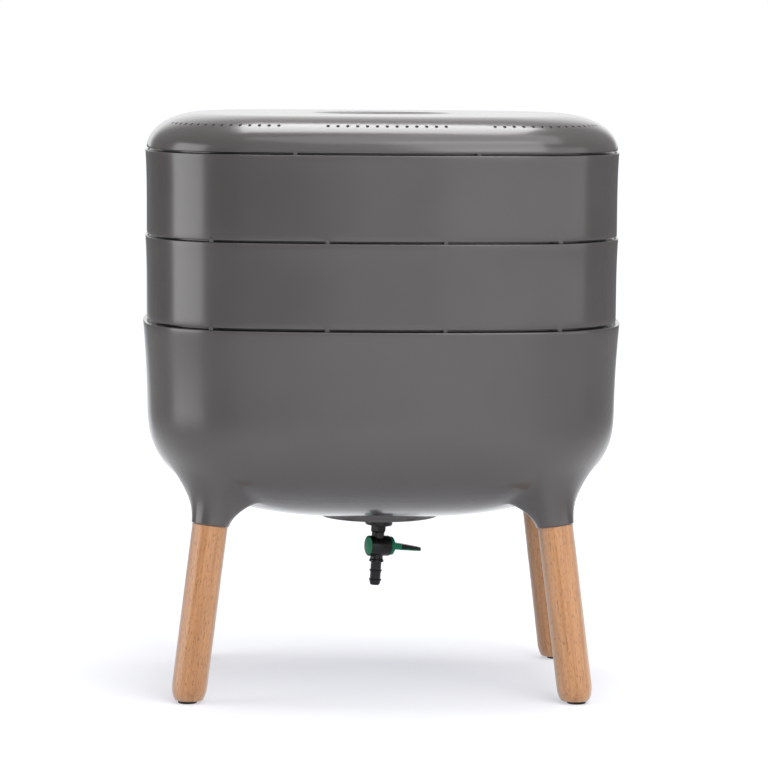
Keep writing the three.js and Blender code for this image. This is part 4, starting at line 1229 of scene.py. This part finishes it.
def make_lever_grip(settings):
    """The black grip on the lever's plate, wrapped round its tip"""
    tap = settings.tap
    _, plug = tap_frames(settings)
    root = tap.housing_right + tap.plug_gap + tap.lever_collar
    start, end = root + tap.lever_block + GAP, root + tap.lever_reach
    piece = bar("lever_grip", lever_stations(tap, start, end, 18, True), 5, 40, plug)
    below, play, over_tip = 3 * MM, 0.15 * MM, 2.9 * MM
    room = lever_stations(tap, start - OVERRUN, end - over_tip, 14, low_lift=-below, widen=OVERRUN)
    room = [(x, half, low, low + below + tap.lever_plate + play) for x, half, low, _ in room]
    return shaded(combine(piece, "DIFFERENCE", bar("room", room, 12, 32, plug)), 35)


# Stage

def area_light(name, place, size, power):
    """A soft lamp at a place, turned to the object's middle"""
    data = bpy.data.lights.new(name, "AREA")
    data.shape = "RECTANGLE"
    data.size, data.size_y = size
    data.energy = power
    lamp = show(name, data)
    way = Vector((0, 0, 0.4)) - Vector(place)
    lamp.matrix_world = Matrix.Translation(place) @ way.to_track_quat("-Z", "Y").to_matrix().to_4x4()


def make_camera(stage):
    """The camera at the photograph's angle for a 768 by 768 image"""
    azimuth, pitch = stage.azimuth, stage.pitch
    level = math.cos(pitch)
    ahead = Vector((-math.sin(azimuth) * level, math.cos(azimuth) * level, -math.sin(pitch)))
    right = Vector((math.cos(azimuth), math.sin(azimuth), 0))
    up = right.cross(ahead)
    c, s = math.cos(stage.roll), math.sin(stage.roll)
    right, up = right * c + up * s, up * c - right * s
    data = bpy.data.cameras.new("camera")
    data.lens, data.sensor_width, data.shift_x, data.clip_end = stage.lens, 36, stage.shift, 200
    camera = show("camera", data)
    place = Vector((stage.distance * math.sin(azimuth), -stage.distance * math.cos(azimuth), stage.height))
    camera.matrix_world = Matrix.Translation(place) @ Matrix((right, up, -ahead)).transposed().to_4x4()
    bpy.context.scene.camera = camera


def seen_by(tree, shine):
    """1 for camera and transmission rays, and its shine for glossy rays"""
    path = add(tree, "ShaderNodeLightPath").outputs
    glossy = calculate(tree, "MULTIPLY", shine, path["Is Glossy Ray"])
    clear = calculate(tree, "MAXIMUM", path["Is Camera Ray"], path["Is Transmission Ray"])
    return calculate(tree, "MAXIMUM", clear, glossy)


def make_floor(stage):
    """A pale studio floor that keeps the soft shadows and fades to white away from the object"""
    reach = 40.0
    mesh = bpy.data.meshes.new("floor")
    mesh.from_pydata([(-reach, -reach, 0), (reach, -reach, 0), (reach, reach, 0), (-reach, reach, 0)],
                     [], [(0, 1, 2, 3)])
    floor = show("floor", mesh)
    # Matt white paper roll: no gloss, only the object's shadow
    material, tree, where = new_material("white paper floor")
    away = add(tree, "ShaderNodeVectorMath", {0: where}, operation="LENGTH").outputs["Value"]
    # Far away the glow and what the floor gives back of the fill light make white together
    far_glow = 1.1 - 0.56 * stage.fill
    glow = remap(tree, away, 0.6, 2.5, 0.5, far_glow, "SMOOTHSTEP")
    # In reflections the roll ends some 1 m to either side, where the studio is dark
    sideways = calculate(tree, "ABSOLUTE", add(tree, "ShaderNodeSeparateXYZ", {"Vector": where}))
    roll = remap(tree, sideways, 0.3, 1.3, 1.0, 0.0)
    strength = calculate(tree, "MULTIPLY", glow, seen_by(tree, roll))
    paper = add(tree, "ShaderNodeBsdfDiffuse", {"Color": linear("#c6c6c6")})
    light = add(tree, "ShaderNodeEmission", {"Color": linear("#f4f6ff"), "Strength": strength})
    both = add(tree, "ShaderNodeAddShader", {0: paper, 1: light})
    add(tree, "ShaderNodeOutputMaterial", {"Surface": both})
    mesh.materials.append(material)


def make_world(stage):
    """A white background that lights the object only softly"""
    world = bpy.data.worlds.new("studio")
    bpy.context.scene.world = world
    world.use_nodes = True
    tree = world.node_tree
    tree.nodes.clear()
    where = add(tree, "ShaderNodeTexCoord").outputs["Generated"]
    # What shines on the object is the white backdrop behind and before it, and a darker ceiling and sides
    across = add(tree, "ShaderNodeVectorMath", {0: where, 1: (2.2, 0, 1.2)}, operation="MULTIPLY")
    away = add(tree, "ShaderNodeVectorMath", {0: across}, operation="LENGTH").outputs["Value"]
    backdrop = remap(tree, away, 0.45, 1.15, 1.0, stage.fill, "SMOOTHSTEP")
    strength = calculate(tree, "MAXIMUM", seen_by(tree, backdrop), stage.fill)
    sky = add(tree, "ShaderNodeBackground", {"Color": linear("#ffffff"), "Strength": strength})
    add(tree, "ShaderNodeOutputWorld", {"Surface": sky})


# Operators

class WORMERY_OT_stage(bpy.types.Operator):
    """Builds the floor, the lamps, the white background and the camera"""

    bl_idname = "wormery.stage"
    bl_label = "Build the stage"

    def execute(self, context):
        stage = context.scene.wormery.stage
        context.scene.view_settings.view_transform = "Standard"
        make_camera(stage)
        make_floor(stage)
        make_world(stage)
        for name, place, size, power in (
            ("left softbox", (-2.46, -0.43, 0.7), (1.7, 2.0), 32),
            ("right wall", (1.93, -1.74, 0.85), (4.2, 1.6), 23),
            ("key light", (1.12, -2.4, 1.95), (1.8, 2.3), 36),
            ("front ceiling", (0.55, -1.05, 2.35), (2.6, 1.2), 17),
            ("top softbox", (0.04, 0.25, 2.4), (1.25, 1.2), 38),
        ):
            area_light(name, place, size, power * stage.lamps)
        return {"FINISHED"}


class WORMERY_OT_sump(bpy.types.Operator):
    """Builds the sump with its leg sockets and its drain boss"""

    bl_idname = "wormery.sump"
    bl_label = "Build the sump"

    def execute(self, context):
        settings = context.scene.wormery
        material = finish_named("satin polypropylene", settings.colours)
        dressed(make_sump(settings), material, "shell", "stand", "base")
        return {"FINISHED"}


class WORMERY_OT_trays(bpy.types.Operator):
    """Builds the two stacking trays"""

    bl_idname = "wormery.trays"
    bl_label = "Build the trays"

    def execute(self, context):
        settings = context.scene.wormery
        material = finish_named("satin polypropylene", settings.colours)
        for level, node in enumerate(("lower_tray", "upper_tray")):
            dressed(make_tray(settings, f"{node}_shell", level, material), material, "shell", node, node)
        return {"FINISHED"}


class WORMERY_OT_lid(bpy.types.Operator):
    """Builds the lid with its vents, finger dish and grip"""

    bl_idname = "wormery.lid"
    bl_label = "Build the lid"

    def execute(self, context):
        settings = context.scene.wormery
        material = finish_named("satin polypropylene", settings.colours)
        dressed(make_lid(settings, material), material, "shell", "lid", "lid")
        return {"FINISHED"}


class WORMERY_OT_legs(bpy.types.Operator):
    """Builds the four turned legs and their glides"""

    bl_idname = "wormery.legs"
    bl_label = "Build the legs"

    def execute(self, context):
        settings = context.scene.wormery
        black = finish_named("black moulded nylon", settings.colours)
        for k, (name, signs) in enumerate(LEG_SIGNS.items()):
            frame_of_leg = leg_frame(settings, *signs)
            leg, foot = make_leg(settings, f"turned_leg_{name}", frame_of_leg)
            # Each leg is cut from another place in the wood
            start = (0.31 * k, 0.17 * k, 0.23 * k)
            wood = beech(f"oiled beech {name}", settings.colours, frame_of_leg, start)
            dressed(leg, wood, "beech", "stand", f"leg_{name}")
            glide = make_glide(settings, f"round_glide_{name}", foot)
            dressed(glide, black, "black", "stand", f"glide_{name}")
        return {"FINISHED"}


class WORMERY_OT_tap(bpy.types.Operator):
    """Builds the drain tap, its plug and its lever"""

    bl_idname = "wormery.tap"
    bl_label = "Build the tap"

    def execute(self, context):
        settings = context.scene.wormery
        black = finish_named("black moulded nylon", settings.colours)
        green = finish_named("green moulded acetal", settings.colours)
        dressed(make_tap_body(settings), black, "black", "stand", "tap_body")
        dressed(make_plug(settings), green, "green", "tap_key", "tap_plug")
        dressed(make_lever(settings), green, "green", "tap_key", "tap_lever")
        dressed(make_lever_grip(settings), black, "black", "tap_key", "tap_lever_grip")
        return {"FINISHED"}


class WORMERY_OT_fixings(bpy.types.Operator):
    """Gives the screws, washers, seals, gaskets and lock nut of the frame their finishes"""

    bl_idname = "wormery.fixings"
    bl_label = "Finish the fixings"

    def execute(self, context):
        finishes = {
            "leg_screw": "plain stainless steel",
            "leg_washer": "black seal rubber",
            "tap_seal": "black seal rubber",
            "tap_gasket": "grey gasket rubber",
            "tap_inner_gasket": "grey gasket rubber",
            "tap_lock_nut": "black moulded nylon",
        }
        for name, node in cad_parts.items():
            for start, finish in finishes.items():
                if name.startswith(start):
                    for slot in node.material_slots:
                        slot.material = finish_named(finish, context.scene.wormery.colours)
        return {"FINISHED"}


class WORMERY_PT_sidebar(bpy.types.Panel):
    """Lists the operators that build the wormery"""

    bl_idname = "WORMERY_PT_sidebar"
    bl_label = "Wormery"
    bl_space_type = "VIEW_3D"
    bl_region_type = "UI"
    bl_category = "Wormery"

    def draw(self, context):
        for operator in OPERATORS:
            self.layout.operator(operator.bl_idname)


OPERATORS = (
    WORMERY_OT_stage, WORMERY_OT_sump, WORMERY_OT_trays, WORMERY_OT_lid, WORMERY_OT_legs,
    WORMERY_OT_tap, WORMERY_OT_fixings,
)
CLASSES = (
    PlanSizes, SumpSizes, TraySizes, LidSizes, LegSizes, TapSizes, FinishColours, StageSizes,
    WormerySettings, *OPERATORS, WORMERY_PT_sidebar,
)


def register():
    """Registers the property groups, the operators and the panel"""
    for kind in CLASSES:
        bpy.utils.register_class(kind)
    bpy.types.Scene.wormery = PointerProperty(type=WormerySettings)


def unregister():
    """Removes what register added"""
    del bpy.types.Scene.wormery
    for kind in reversed(CLASSES):
        bpy.utils.unregister_class(kind)


def main():
    register()
    bpy.ops.wormery.stage()
    bpy.ops.wormery.sump()
    bpy.ops.wormery.trays()
    bpy.ops.wormery.lid()
    bpy.ops.wormery.legs()
    bpy.ops.wormery.tap()
    bpy.ops.wormery.fixings()


if __name__ == "__main__":
    main()
